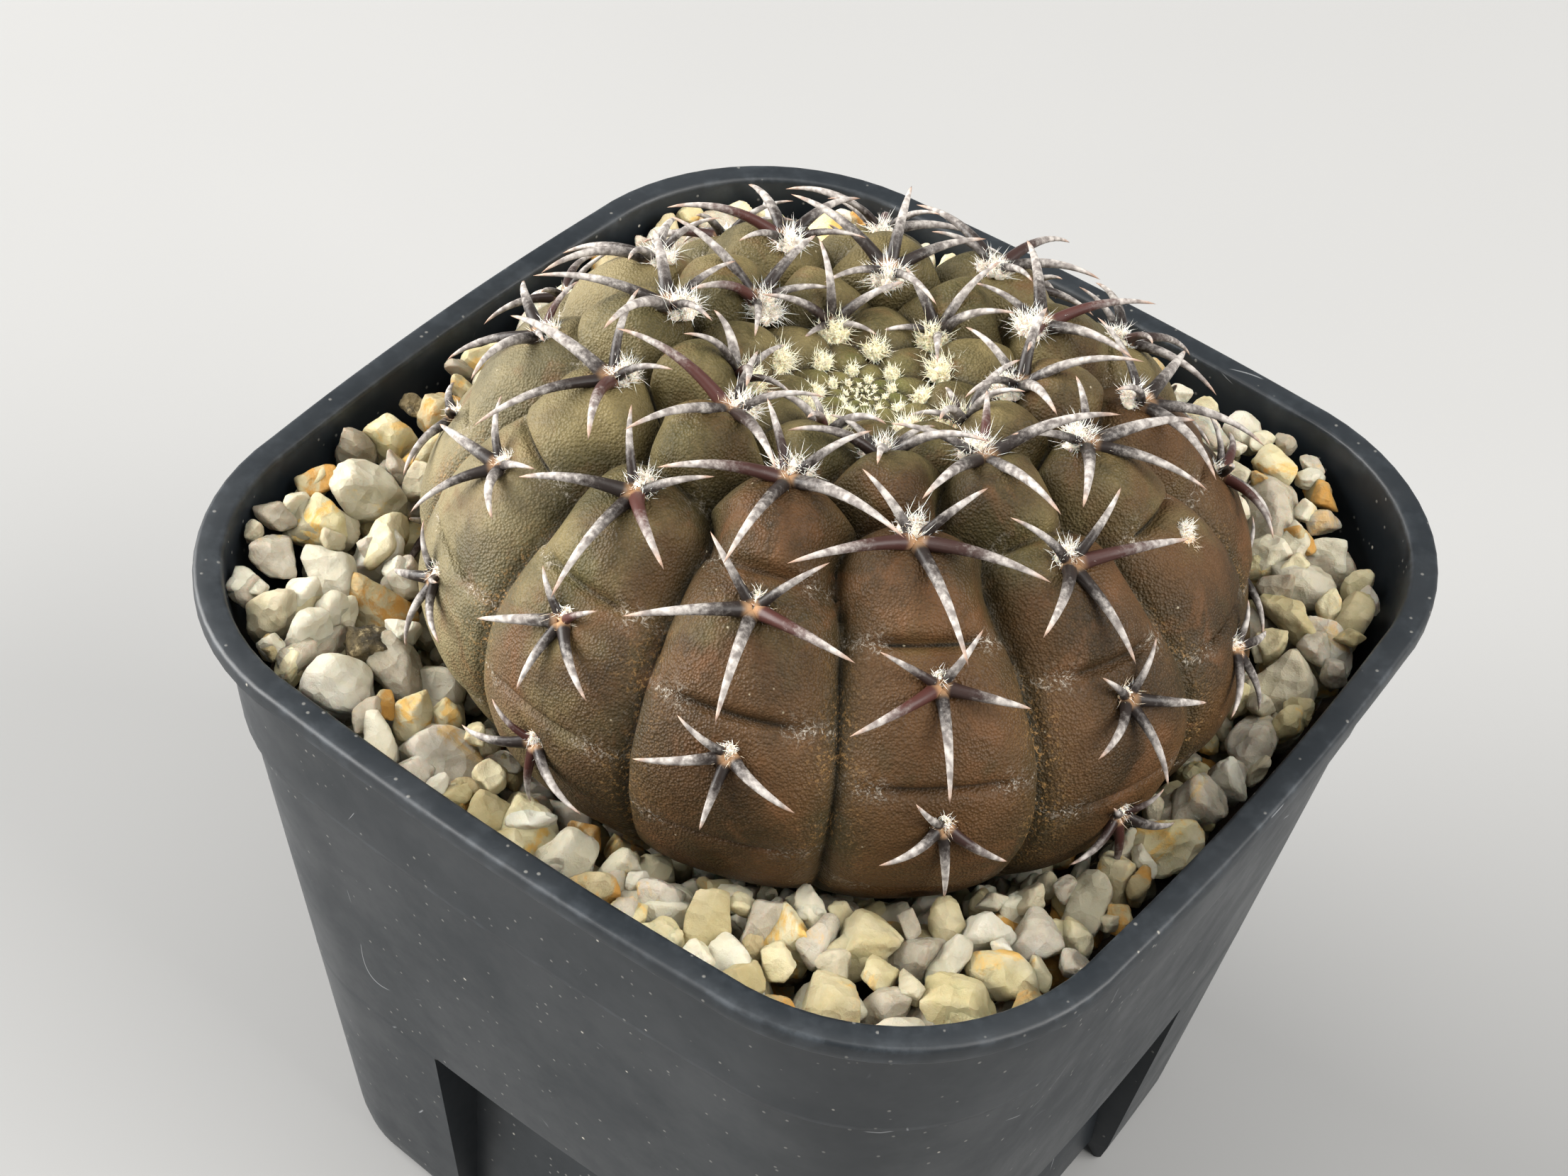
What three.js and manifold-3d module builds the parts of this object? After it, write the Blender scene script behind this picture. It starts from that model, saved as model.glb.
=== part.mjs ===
// A round chin cactus in a square black nursery pot, with soil, root and grit.
// Millimetres, +Z up. The origin is on the ground under the middle of the pot,
// and the pot's sides are parallel to X and Y.
import * as THREE from 'three';
import { mergeVertices } from 'three/addons/utils/BufferGeometryUtils.js';
import Module from 'manifold-3d';

const wasm = await Module();
wasm.setup();

// ---- pot ----
const POT_HEIGHT = 63.3;
const LIP_HALF = 37.5;
const LIP_CORNER = 18.7;
const LIP_HEIGHT = 1.5;
const LIP_WIDTH = 2.1;
const LIP_ROUND = 0.4;
const COLLAR_HALF = 35.9;
const COLLAR_FOOT_HALF = 34.9;
const COLLAR_HEIGHT = 12.4;
const COLLAR_STEP = 0.5;
const BASE_HALF = 27.5;
const BASE_CORNER = 9.2;
const BASE_ROUND = 0.8;
const SIDE_BOW = 0.6;
const WALL = 1.1;
const FLOOR = 1.2;
const RECESS_WIDTH = 20.6;
const RECESS_HEIGHT = 24;
const RECESS_PLANE = 26.7;
const CHANNEL_HEIGHT = 2;
const DRAIN_RADIUS = 4;
const SLOT_WIDTH = 4.5;
const SLOT_INNER = 9;
const SLOT_OUTER = 19;

// ---- filling ----
const GAP = 0.3;
const SOIL_TOP = POT_HEIGHT - 12.6;
const SLAB_TOP = POT_HEIGHT - 7.8;
const STONE_PITCH = 4.9;
const STONE_RADIUS = 2.5;

// ---- stem: a flattened globe with a dimpled crown, leaning a little back ----
const STEM_RADIUS = 30;
const STEM_UPPER = 21.1;
const STEM_LOWER = 17.9;
const STEM_POWER = 1.92;
const DIMPLE_DEPTH = 7.3;
const DIMPLE_WIDTH = 10.3;
const STEM_CENTRE = new THREE.Vector3(1.05, -0.3, POT_HEIGHT - 0.2);
const STEM_LEAN_X = THREE.MathUtils.degToRad(-7.1);
const STEM_LEAN_Y = THREE.MathUtils.degToRad(-2.1);
const RIBS = 13;
const FIRST_RIB = THREE.MathUtils.degToRad(-41);
const RIB_STEP = (-2 * Math.PI) / RIBS;
const CROWN_TWIST = THREE.MathUtils.degToRad(-10.6);
const FURROW_DEPTH = 2.8;
const HUMP = 0.9;
const CREASE = 0.72;

// ---- areoles: each new one sits five ribs on from the last ----
const AREOLE_PITCH = 9.7;
const AREOLE_START = 9.95;
const AREOLE_LEAN = 0.65;
const RIBS_PER_AREOLE = 5;
const YOUNGEST_ARC = 5.4;
const OLDEST_ARC = 44.5;
const AREOLE_CLEARANCE = 3;
const BARE_AREOLE = 23;
const CROWDED_TRIES = 60;
const SPINE_BASE = 0.55;
const SPINES = [
  { turn: 0, length: 9.4 },
  { turn: 66, length: 9 },
  { turn: -66, length: 9 },
  { turn: 128, length: 6.8 },
  { turn: -128, length: 6.8 },
];

// ---- taproot ----
const ROOT_RADIUS = 5.2;
const ROOT_LENGTH = 27;

const COLOURS = {
  pot: { color: 0x1d2023, roughness: 0.5, metalness: 0 },
  soil: { color: 0x3a2a1e, roughness: 1, metalness: 0 },
  grit: { color: 0xd9d2bd, roughness: 0.7, metalness: 0 },
  stem: { color: 0x6b5f44, roughness: 0.62, metalness: 0 },
  spines: { color: 0x6d615c, roughness: 0.6, metalness: 0 },
  wool: { color: 0xe6dcc2, roughness: 1, metalness: 0 },
  root: { color: 0xa98b62, roughness: 0.9, metalness: 0 },
};

// A repeatable number from 0 to 1 for two whole numbers.
function scatter(a, b) {
  const s = Math.sin(a * 12.9898 + b * 78.233) * 43758.5453;
  return s - Math.floor(s);
}

function toSolid(geometry) {
  const bare = geometry.clone();
  bare.deleteAttribute('normal');
  bare.deleteAttribute('uv');
  const merged = mergeVertices(bare, 1e-4);
  return new wasm.Manifold(new wasm.Mesh({
    numProp: 3,
    vertProperties: new Float32Array(merged.attributes.position.array),
    triVerts: new Uint32Array(merged.index.array),
  }));
}

function toGeometry(solid) {
  const mesh = solid.getMesh();
  const geometry = new THREE.BufferGeometry();
  geometry.setAttribute('position', new THREE.BufferAttribute(new Float32Array(mesh.vertProperties), 3));
  geometry.setIndex(new THREE.BufferAttribute(new Uint32Array(mesh.triVerts), 1));
  geometry.computeVertexNormals();
  return geometry;
}

function block(low, high) {
  const geometry = new THREE.BoxGeometry(high[0] - low[0], high[1] - low[1], high[2] - low[2]);
  geometry.translate((low[0] + high[0]) / 2, (low[1] + high[1]) / 2, (low[2] + high[2]) / 2);
  return toSolid(geometry);
}

// Closed skin over rings of equal count, bottom ring first, each ring anticlockwise from above.
function loft(rings) {
  const count = rings[0].length;
  const points = rings.flat();
  const faces = [];
  for (let r = 0; r + 1 < rings.length; r += 1) {
    for (let i = 0; i < count; i += 1) {
      const a = r * count + i;
      const b = r * count + ((i + 1) % count);
      faces.push(a, b, b + count, a, b + count, a + count);
    }
  }
  const last = (rings.length - 1) * count;
  const middle = (ring) => ring.reduce((sum, p) => sum.add(p), new THREE.Vector3()).divideScalar(count);
  points.push(middle(rings[0]), middle(rings[rings.length - 1]));
  for (let i = 0; i < count; i += 1) {
    const j = (i + 1) % count;
    faces.push(points.length - 2, j, i, points.length - 1, last + i, last + j);
  }
  const geometry = new THREE.BufferGeometry().setFromPoints(points);
  geometry.setIndex(faces);
  return geometry;
}

// ---- pot ----

// A square ring with round corners, whose sides bow outwards.
function squareRing(half, corner, z) {
  const sideSteps = 4;
  const cornerSteps = 6;
  const flat = half - corner;
  const ring = [];
  for (let side = 0; side < 4; side += 1) {
    const turn = (side * Math.PI) / 2;
    const place = (x, y) => {
      const p = new THREE.Vector3(x, y, z);
      return p.applyAxisAngle(new THREE.Vector3(0, 0, 1), turn);
    };
    for (let i = 0; i < sideSteps; i += 1) {
      const u = -1 + (2 * i) / sideSteps;
      ring.push(place(flat * u, -half - SIDE_BOW * (1 - u * u)));
    }
    for (let i = 0; i < cornerSteps; i += 1) {
      const a = -Math.PI / 2 + (i / cornerSteps) * (Math.PI / 2);
      ring.push(place(flat + corner * Math.cos(a), -flat + corner * Math.sin(a)));
    }
  }
  return ring;
}

// Corner radius at a height, growing from the base to the lip.
function cornerAt(z) {
  return THREE.MathUtils.lerp(BASE_CORNER, LIP_CORNER - 1, z / POT_HEIGHT);
}

// Half width of the pot's outside below the collar.
function sideAt(z) {
  const top = POT_HEIGHT - COLLAR_HEIGHT;
  return THREE.MathUtils.lerp(BASE_HALF, COLLAR_FOOT_HALF - COLLAR_STEP, z / top);
}

function potOutside() {
  const collarFoot = POT_HEIGHT - COLLAR_HEIGHT;
  const lipFoot = POT_HEIGHT - LIP_HEIGHT;
  const rows = [
    [BASE_HALF - BASE_ROUND, 0],
    [BASE_HALF, BASE_ROUND],
    [sideAt(collarFoot), collarFoot],
    [COLLAR_FOOT_HALF, collarFoot + COLLAR_STEP / 2],
    [COLLAR_HALF, lipFoot - LIP_ROUND],
    [LIP_HALF - LIP_ROUND, lipFoot],
    [LIP_HALF, lipFoot + LIP_ROUND],
    [LIP_HALF, POT_HEIGHT - LIP_ROUND],
    [LIP_HALF - LIP_ROUND, POT_HEIGHT],
  ];
  return toSolid(loft(rows.map(([half, z]) => squareRing(half, cornerAt(z) + half - sideAt(z), z))));
}

// The room inside the pot, shrunk by a clearance for what fills it.
function potInside(clearance, top = POT_HEIGHT + 5) {
  const collarFoot = POT_HEIGHT - COLLAR_HEIGHT;
  const inset = WALL + clearance;
  const halfAt = (z) => {
    if (z <= collarFoot) return sideAt(z) - inset;
    const up = (z - collarFoot) / COLLAR_HEIGHT;
    const lipInside = LIP_HALF - LIP_WIDTH - clearance;
    return THREE.MathUtils.lerp(sideAt(collarFoot) - inset, lipInside, Math.min(up, 1));
  };
  const heights = [FLOOR + clearance, collarFoot, POT_HEIGHT - 0.8, POT_HEIGHT + 5].filter((z) => z < top);
  heights.push(top);
  const rings = heights.map((z) => squareRing(halfAt(z), cornerAt(z) - inset, z));
  return toSolid(loft(rings));
}

// Everything cut away outside the four recesses and under the raised floor.
function recessCutters(margin) {
  const half = RECESS_WIDTH / 2 + margin;
  const plane = RECESS_PLANE - margin;
  const reach = LIP_HALF + 5;
  const top = RECESS_HEIGHT + margin;
  const under = CHANNEL_HEIGHT + margin;
  return [
    block([-half, -reach, -1], [half, -plane, top]),
    block([-half, plane, -1], [half, reach, top]),
    block([-reach, -half, -1], [-plane, half, top]),
    block([plane, -half, -1], [reach, half, top]),
    block([-half, -reach, -1], [half, reach, under]),
    block([-reach, -half, -1], [reach, half, under]),
  ];
}

function potRoom(clearance, top) {
  let room = potInside(clearance, top);
  for (const cutter of recessCutters(WALL + clearance)) room = room.subtract(cutter);
  return room;
}

function makePot() {
  let pot = potOutside();
  for (const cutter of recessCutters(0)) pot = pot.subtract(cutter);
  pot = pot.subtract(potRoom(0));
  const drain = new THREE.CylinderGeometry(DRAIN_RADIUS, DRAIN_RADIUS, 20, 20);
  drain.rotateX(Math.PI / 2);
  pot = pot.subtract(toSolid(drain));
  const w = SLOT_WIDTH / 2;
  for (const side of [-1, 1]) {
    const near = Math.min(side * SLOT_INNER, side * SLOT_OUTER);
    const far = Math.max(side * SLOT_INNER, side * SLOT_OUTER);
    pot = pot.subtract(block([near, -w, -1], [far, w, 10]));
    pot = pot.subtract(block([-w, near, -1], [w, far, 10]));
  }
  return toGeometry(pot);
}

// ---- stem ----

// Distance from the axis and height of the rib crests at an angle down from the crown.
function stemProfile(alpha) {
  if (alpha <= Math.PI / 2) {
    const rho = STEM_RADIUS * Math.sin(alpha) ** (2 / STEM_POWER);
    const dome = STEM_UPPER * Math.cos(alpha) ** (2 / STEM_POWER);
    return [rho, dome - DIMPLE_DEPTH * Math.exp(-((rho / DIMPLE_WIDTH) ** 2))];
  }
  return [STEM_RADIUS * Math.sin(alpha), STEM_LOWER * Math.cos(alpha)];
}

const PROFILE_STEPS = 720;
const PROFILE_ARCS = [0];
for (let i = 1; i <= PROFILE_STEPS; i += 1) {
  const [r0, z0] = stemProfile(((i - 1) / PROFILE_STEPS) * Math.PI);
  const [r1, z1] = stemProfile((i / PROFILE_STEPS) * Math.PI);
  PROFILE_ARCS.push(PROFILE_ARCS[i - 1] + Math.hypot(r1 - r0, z1 - z0));
}
const STEM_ARC = PROFILE_ARCS[PROFILE_STEPS];

// Crest point at a length measured down the rib from the crown: radius, height, outward normal.
function crestAt(arc) {
  let i = 1;
  while (i < PROFILE_STEPS && PROFILE_ARCS[i] < arc) i += 1;
  const part = (arc - PROFILE_ARCS[i - 1]) / (PROFILE_ARCS[i] - PROFILE_ARCS[i - 1]);
  const alpha = ((i - 1 + part) / PROFILE_STEPS) * Math.PI;
  const [rho, z] = stemProfile(alpha);
  const [r0, z0] = stemProfile(Math.max(alpha - 0.01, 0));
  const [r1, z1] = stemProfile(Math.min(alpha + 0.01, Math.PI));
  const size = Math.hypot(r1 - r0, z1 - z0);
  return { alpha, rho, z, nr: -(z1 - z0) / size, nz: (r1 - r0) / size };
}

function ribAngle(rib, crest) {
  const twist = crest.alpha < Math.PI / 2 ? CROWN_TWIST * (1 - crest.rho / STEM_RADIUS) : 0;
  return FIRST_RIB + rib * RIB_STEP + twist;
}

// Arc length of a rib's areoles, modulo the pitch.
function areolePhase(rib) {
  const order = (rib * 8) % RIBS;
  const lean = AREOLE_LEAN * Math.cos((2 * Math.PI * (rib - 2.5)) / RIBS);
  return AREOLE_START + (order * AREOLE_PITCH) / RIBS + lean;
}

// Height of the skin over the crest line, at a place across the rib from -0.5 to 0.5.
function skinHeight(rib, across, arc) {
  const young = THREE.MathUtils.smoothstep(arc, 1, 13);
  const old = 1 - 0.6 * THREE.MathUtils.smoothstep(arc, 46, STEM_ARC);
  const edge = Math.abs(2 * across) ** 3.4;
  const below = (((arc - areolePhase(rib)) / AREOLE_PITCH) % 1 + 1) % 1;
  const swell = below < CREASE
    ? Math.sin(((below + 0.28) / (CREASE + 0.28)) * Math.PI)
    : Math.sin(((below - CREASE) / (1.28 - CREASE + 0.16)) * Math.PI * 0.5);
  const fade = 1 - THREE.MathUtils.smoothstep(arc, 44, 52);
  return -FURROW_DEPTH * young * old * edge + HUMP * (swell - 0.6) * (1 - edge) * young * fade;
}

function stemPoint(rib, across, arc, lift) {
  const crest = crestAt(arc);
  const height = skinHeight(rib, across, arc) + lift;
  const angle = ribAngle(rib, crest) - across * RIB_STEP;
  const rho = Math.max(crest.rho + crest.nr * height, 0);
  const z = crest.z + crest.nz * height;
  return new THREE.Vector3(rho * Math.cos(angle), rho * Math.sin(angle), z);
}

// The ribbed skin, lifted everywhere by the given amount.
function makeStem(lift = 0) {
  const rows = 30;
  const columns = 5;
  const points = [];
  const faces = [];
  const count = RIBS * columns;
  for (let row = 1; row < rows; row += 1) {
    const arc = (row / rows) * STEM_ARC;
    for (let c = 0; c < count; c += 1) {
      const rib = (RIBS - Math.floor(c / columns)) % RIBS;
      points.push(stemPoint(rib, (c % columns) / columns - 0.5, arc, lift));
    }
  }
  for (let row = 0; row + 2 < rows; row += 1) {
    for (let c = 0; c < count; c += 1) {
      const a = row * count + c;
      const b = row * count + ((c + 1) % count);
      faces.push(a, a + count, b + count, a, b + count, b);
    }
  }
  const last = (rows - 2) * count;
  const crown = crestAt(0.001);
  points.push(new THREE.Vector3(0, 0, crown.z + lift), new THREE.Vector3(0, 0, -STEM_LOWER - lift));
  for (let c = 0; c < count; c += 1) {
    const d = (c + 1) % count;
    faces.push(points.length - 2, c, d, points.length - 1, last + d, last + c);
  }
  const geometry = new THREE.BufferGeometry().setFromPoints(points);
  geometry.setIndex(faces);
  geometry.computeVertexNormals();
  return geometry;
}

// A smooth turned shape just outside the rib crests, below the crown's dimple.
function makeStemEnvelope(lift) {
  const steps = 12;
  const profile = [new THREE.Vector2(0, STEM_UPPER)];
  for (let i = 0; i <= steps; i += 1) {
    const crest = crestAt(THREE.MathUtils.lerp(STEM_ARC * 0.3, STEM_ARC, i / steps));
    const lifted = Math.max(crest.rho + crest.nr * lift, 0);
    profile.push(new THREE.Vector2(i === steps ? 0 : lifted, crest.z + crest.nz * lift));
  }
  const geometry = new THREE.LatheGeometry(profile.reverse(), 40);
  return geometry.rotateX(Math.PI / 2);
}

// ---- areoles ----

// Place on the skin with its outward, downhill and sideways directions.
function areoleFrame(rib, arc) {
  const origin = stemPoint(rib, 0, arc, 0);
  const crest = crestAt(arc);
  const angle = ribAngle(rib, crest);
  const out = new THREE.Vector3(crest.nr * Math.cos(angle), crest.nr * Math.sin(angle), crest.nz);
  const side = new THREE.Vector3(-Math.sin(angle), Math.cos(angle), 0);
  const down = new THREE.Vector3().crossVectors(out, side).negate();
  return { origin, out, down, side };
}

// A curved, tapering spine with a square section.
function spineSolid(frame, turn, length, rise) {
  const along = frame.down.clone().multiplyScalar(Math.cos(turn));
  along.addScaledVector(frame.side, Math.sin(turn));
  const root = frame.origin.clone().addScaledVector(frame.out, 0.35).addScaledVector(along, 0.3);
  const bend = root.clone().addScaledVector(along, length * 0.5 * Math.cos(rise));
  bend.addScaledVector(frame.out, length * 0.5 * Math.sin(rise));
  const tip = bend.clone().addScaledVector(along, length * 0.5 * Math.cos(rise * 0.25));
  tip.addScaledVector(frame.out, length * 0.5 * Math.sin(rise * 0.25));
  const curve = new THREE.QuadraticBezierCurve3(root, bend, tip);
  const steps = 2;
  const sides = 4;
  const across = new THREE.Vector3().crossVectors(along, frame.out).normalize();
  const points = [];
  const faces = [];
  for (let i = 0; i < steps; i += 1) {
    const t = i / steps;
    const centre = curve.getPoint(t);
    const upward = new THREE.Vector3().crossVectors(across, curve.getTangent(t)).normalize();
    const radius = SPINE_BASE * (1 - 0.75 * t);
    for (let j = 0; j < sides; j += 1) {
      const a = (j / sides) * 2 * Math.PI;
      const p = centre.clone().addScaledVector(upward, radius * Math.cos(a));
      points.push(p.addScaledVector(across, radius * Math.sin(a)));
    }
  }
  for (let i = 0; i + 1 < steps; i += 1) {
    for (let j = 0; j < sides; j += 1) {
      const a = i * sides + j;
      const b = i * sides + ((j + 1) % sides);
      faces.push(a, b, b + sides, a, b + sides, a + sides);
    }
  }
  points.push(tip, root);
  const last = (steps - 1) * sides;
  for (let j = 0; j < sides; j += 1) {
    const k = (j + 1) % sides;
    faces.push(last + j, last + k, points.length - 2, k, j, points.length - 1);
  }
  const geometry = new THREE.BufferGeometry().setFromPoints(points);
  geometry.setIndex(faces);
  return toSolid(geometry);
}

function cushionSolid(frame) {
  const geometry = new THREE.IcosahedronGeometry(1, 0);
  geometry.scale(1.7, 1.3, 1.05);
  geometry.applyMatrix4(new THREE.Matrix4().makeBasis(frame.down, frame.side, frame.out));
  geometry.translate(frame.origin.x, frame.origin.y, frame.origin.z);
  return toSolid(geometry);
}

// How much of its full length a spine has: short when young, short on the oldest areoles.
function spineGrowth(arc) {
  const young = THREE.MathUtils.smoothstep(arc, 5, 14);
  const old = THREE.MathUtils.smoothstep(arc, 19, 36);
  return (0.6 + 0.4 * young) * (1 - 0.38 * old);
}

function clusterSolid(frame, number, arc, attempt) {
  let solid = cushionSolid(frame);
  if (number === BARE_AREOLE) return solid;
  SPINES.forEach(({ turn, length }, n) => {
    const seed = number + attempt * 100;
    const swing = turn + 20 * (scatter(seed, n) - 0.5);
    const crowded = Math.min(attempt / CROWDED_TRIES, 1);
    const size = length * spineGrowth(arc) * (0.86 + 0.28 * scatter(seed, n + 10)) * (1 - 0.6 * crowded);
    const rise = 24 + 22 * scatter(seed, n + 20) + 25 * crowded;
    const rad = THREE.MathUtils.degToRad;
    solid = solid.add(spineSolid(frame, rad(swing), size, rad(rise)));
  });
  return solid;
}

function listAreoles() {
  const areoles = [];
  for (let number = -13; number < 60; number += 1) {
    const rib = (((number * RIBS_PER_AREOLE) % RIBS) + RIBS) % RIBS;
    const lean = AREOLE_LEAN * Math.cos((2 * Math.PI * (rib - 2.5)) / RIBS);
    const arc = AREOLE_START + (number * AREOLE_PITCH) / RIBS + lean;
    if (arc > YOUNGEST_ARC && arc < OLDEST_ARC) areoles.push({ number, rib, arc });
  }
  return areoles;
}

// ---- filling ----

// Distance of a point outside a square of the given half width.
function outsideSquare(x, y, half) {
  return Math.hypot(Math.max(Math.abs(x) - half, 0), Math.max(Math.abs(y) - half, 0));
}

function makeGravel(stem) {
  const room = potInside(GAP, POT_HEIGHT - 3);
  const reach = LIP_HALF;
  let bed = room.intersect(block([-reach, -reach, SOIL_TOP + GAP], [reach, reach, SLAB_TOP]));
  const stones = [];
  const count = Math.ceil((2 * reach) / STONE_PITCH);
  for (let i = 0; i < count; i += 1) {
    for (let j = 0; j < count; j += 1) {
      const seed = i * count + j;
      const x = -reach + (i + 0.3 + 0.4 * scatter(seed, 1)) * STONE_PITCH;
      const y = -reach + (j + 0.3 + 0.4 * scatter(seed, 2)) * STONE_PITCH;
      const fromStem = Math.hypot(x - STEM_CENTRE.x, y - STEM_CENTRE.y);
      if (fromStem < STEM_RADIUS || outsideSquare(x, y, reach - LIP_CORNER) > LIP_CORNER - 4) continue;
      const stone = new THREE.IcosahedronGeometry(STONE_RADIUS * (0.8 + 0.4 * scatter(seed, 3)), 0);
      stone.scale(1, 0.85 + 0.3 * scatter(seed, 4), 0.75);
      stone.rotateZ(scatter(seed, 5) * 6);
      stone.rotateX(scatter(seed, 6));
      stone.translate(x, y, SLAB_TOP + 0.4 * scatter(seed, 7));
      stones.push(toSolid(stone));
    }
  }
  for (const stone of stones) bed = bed.add(stone);
  return bed.intersect(room).subtract(stem);
}

function makeSoil(stem, root) {
  return potRoom(GAP, SOIL_TOP).subtract(stem).subtract(root);
}

function makeRoot(clearance) {
  const steps = 8;
  const profile = [new THREE.Vector2(0, clearance)];
  if (clearance > 0) profile.push(new THREE.Vector2(ROOT_RADIUS + 0.7 + clearance, clearance));
  for (let i = 0; i <= steps; i += 1) {
    const t = i / steps;
    profile.push(new THREE.Vector2(ROOT_RADIUS * (1 - t) ** 0.8 + 0.7 + clearance, -t * ROOT_LENGTH));
  }
  profile.push(new THREE.Vector2(0, -ROOT_LENGTH - clearance));
  const geometry = new THREE.LatheGeometry(profile.reverse(), 14);
  geometry.rotateX(Math.PI / 2);
  return geometry;
}

// ---- assembly ----

const group = new THREE.Group();
const materials = {};
for (const [name, look] of Object.entries(COLOURS)) materials[name] = new THREE.MeshStandardMaterial(look);

function addPart(parent, name, geometry, look) {
  const mesh = new THREE.Mesh(geometry, materials[look]);
  mesh.name = name;
  parent.add(mesh);
  return mesh;
}

const plant = new THREE.Group();
plant.position.copy(STEM_CENTRE);
plant.rotation.set(STEM_LEAN_X, STEM_LEAN_Y, 0, 'YXZ');
plant.updateMatrixWorld(true);
group.add(plant);

function inPot(geometry) {
  return toSolid(geometry.clone().applyMatrix4(plant.matrixWorld));
}

const stemSkin = makeStem();
const stemRoom = makeStem(GAP + 0.1);
const stemEnvelope = inPot(makeStemEnvelope(HUMP + GAP));
const rootTop = -STEM_LOWER - 0.5;
const root = makeRoot(0).translate(0, 0, rootTop);
const rootRoom = makeRoot(GAP + 0.1).translate(0, 0, rootTop);

const pot = makePot();
addPart(group, 'pot', pot, 'pot');
addPart(group, 'potting_soil', toGeometry(makeSoil(stemEnvelope, inPot(rootRoom))), 'soil');
const gravel = toGeometry(makeGravel(stemEnvelope));
addPart(group, 'gravel_bed', gravel, 'grit');
addPart(plant, 'cactus_body', stemSkin, 'stem');
addPart(plant, 'taproot', root, 'root');

const clearOfStem = toSolid(stemRoom);
const crown = new THREE.SphereGeometry(1, 10, 6).scale(3.6, 3.6, 1.9);
crown.translate(0, 0, stemPoint(0, 0, 0.01, 0).z);
const crownPad = toSolid(crown).subtract(clearOfStem);
addPart(plant, 'crown_wool', toGeometry(crownPad), 'wool');

// Spines are turned a little until they pass clear of each other, the wool, the grit and the pot.
const toPlant = plant.matrixWorld.clone().invert();
const placed = [crownPad];
for (const geometry of [pot, gravel]) placed.push(toSolid(geometry.clone().applyMatrix4(toPlant)));

for (const { number, rib, arc } of listAreoles()) {
  const frame = areoleFrame(rib, arc);
  const height = frame.origin.clone().applyMatrix4(plant.matrixWorld).z;
  if (height < SLAB_TOP + AREOLE_CLEARANCE) continue;
  const level = Math.floor((arc - YOUNGEST_ARC) / AREOLE_PITCH) + 1;
  let attempt = 0;
  let solid = clusterSolid(frame, number, arc, attempt).subtract(clearOfStem);
  while (attempt < 2 * CROWDED_TRIES && placed.some((other) => other.intersect(solid).volume() > 1e-4)) {
    attempt += 1;
    solid = clusterSolid(frame, number, arc, attempt).subtract(clearOfStem);
  }
  placed.push(solid);
  addPart(plant, `spine_cluster_${rib + 1}_${level}`, toGeometry(solid), 'spines');
}

export default group;
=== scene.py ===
"""A round chin cactus in a square nursery pot, dressed with broken quartz grit.

Lengths in this file are millimetres until mesh_piece() turns them into metres.
"""
import math

import bmesh
import bpy
import numpy as np
from mathutils import Matrix, Vector


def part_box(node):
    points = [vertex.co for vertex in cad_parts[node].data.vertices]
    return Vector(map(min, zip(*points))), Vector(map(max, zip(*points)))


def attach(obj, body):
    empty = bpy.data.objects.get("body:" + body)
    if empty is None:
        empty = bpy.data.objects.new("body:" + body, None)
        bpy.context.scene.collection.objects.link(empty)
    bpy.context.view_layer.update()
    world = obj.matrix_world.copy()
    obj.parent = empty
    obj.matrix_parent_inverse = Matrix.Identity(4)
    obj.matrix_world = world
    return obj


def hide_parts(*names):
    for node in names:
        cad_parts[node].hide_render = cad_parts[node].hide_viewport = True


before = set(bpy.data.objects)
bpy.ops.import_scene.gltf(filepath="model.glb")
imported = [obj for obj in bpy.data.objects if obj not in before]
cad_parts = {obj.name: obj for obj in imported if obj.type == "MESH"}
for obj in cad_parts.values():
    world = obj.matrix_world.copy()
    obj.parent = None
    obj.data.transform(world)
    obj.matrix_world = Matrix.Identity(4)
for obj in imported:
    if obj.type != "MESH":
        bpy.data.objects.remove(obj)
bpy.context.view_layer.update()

MM = 0.001
POT_HIGH = np.array(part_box("pot")[1]) / MM
SOIL_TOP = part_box("potting_soil")[1][2] / MM

# ---- measures of the pot ----
RIM = POT_HIGH[2]
SIDE_BOW = 0.6
LIP_HALF = POT_HIGH[0] - SIDE_BOW
LIP_CORNER = 18.7
LIP_HEIGHT = 1.5
LIP_WIDTH = 2.1
COLLAR_HALF = 35.9
COLLAR_FOOT_HALF = 34.9
COLLAR_HEIGHT = 12.4
COLLAR_STEP = 0.45
BASE_HALF = 27.5
BASE_CORNER = 9.2
WALL = 1.1
RECESS_HALF = 10.3
RECESS_HEIGHT = 24.0
RECESS_PLANE = 26.7
CHANNEL = 2.0

# ---- measures of the stem ----
STEM_RADIUS = 30.0
STEM_UPPER = 21.1
STEM_LOWER = 17.9
STEM_POWER = 1.92
DIMPLE_DEPTH = 7.3
DIMPLE_WIDTH = 10.3
STEM_CENTRE = np.array([1.05, -0.3, RIM - 0.2])
LEAN = np.array(Matrix.Rotation(math.radians(-2.1), 3, "Y") @ Matrix.Rotation(math.radians(-7.1), 3, "X"))
RIBS = 13
FIRST_RIB = math.radians(-41)
RIB_STEP = -2 * math.pi / RIBS
CROWN_TWIST = math.radians(-10.6)
FURROW_DEPTH = 2.9
CREASE_DEPTH = 1.0
RIB_COLUMNS = 34
VISIBLE_ARC = 52
SKIN_BATCH = 20000

# ---- areoles: each new one sits five ribs on from the last ----
AREOLE_PITCH = 9.7
AREOLE_START = 9.95
AREOLE_LEAN = 0.65
YOUNGEST_ARC = 5.4
OLDEST_ARC = 44.5
BARE_AREOLE = 23
WOOLLY_TO = 9.5
OLD_FELT_FROM = 26.0

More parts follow.
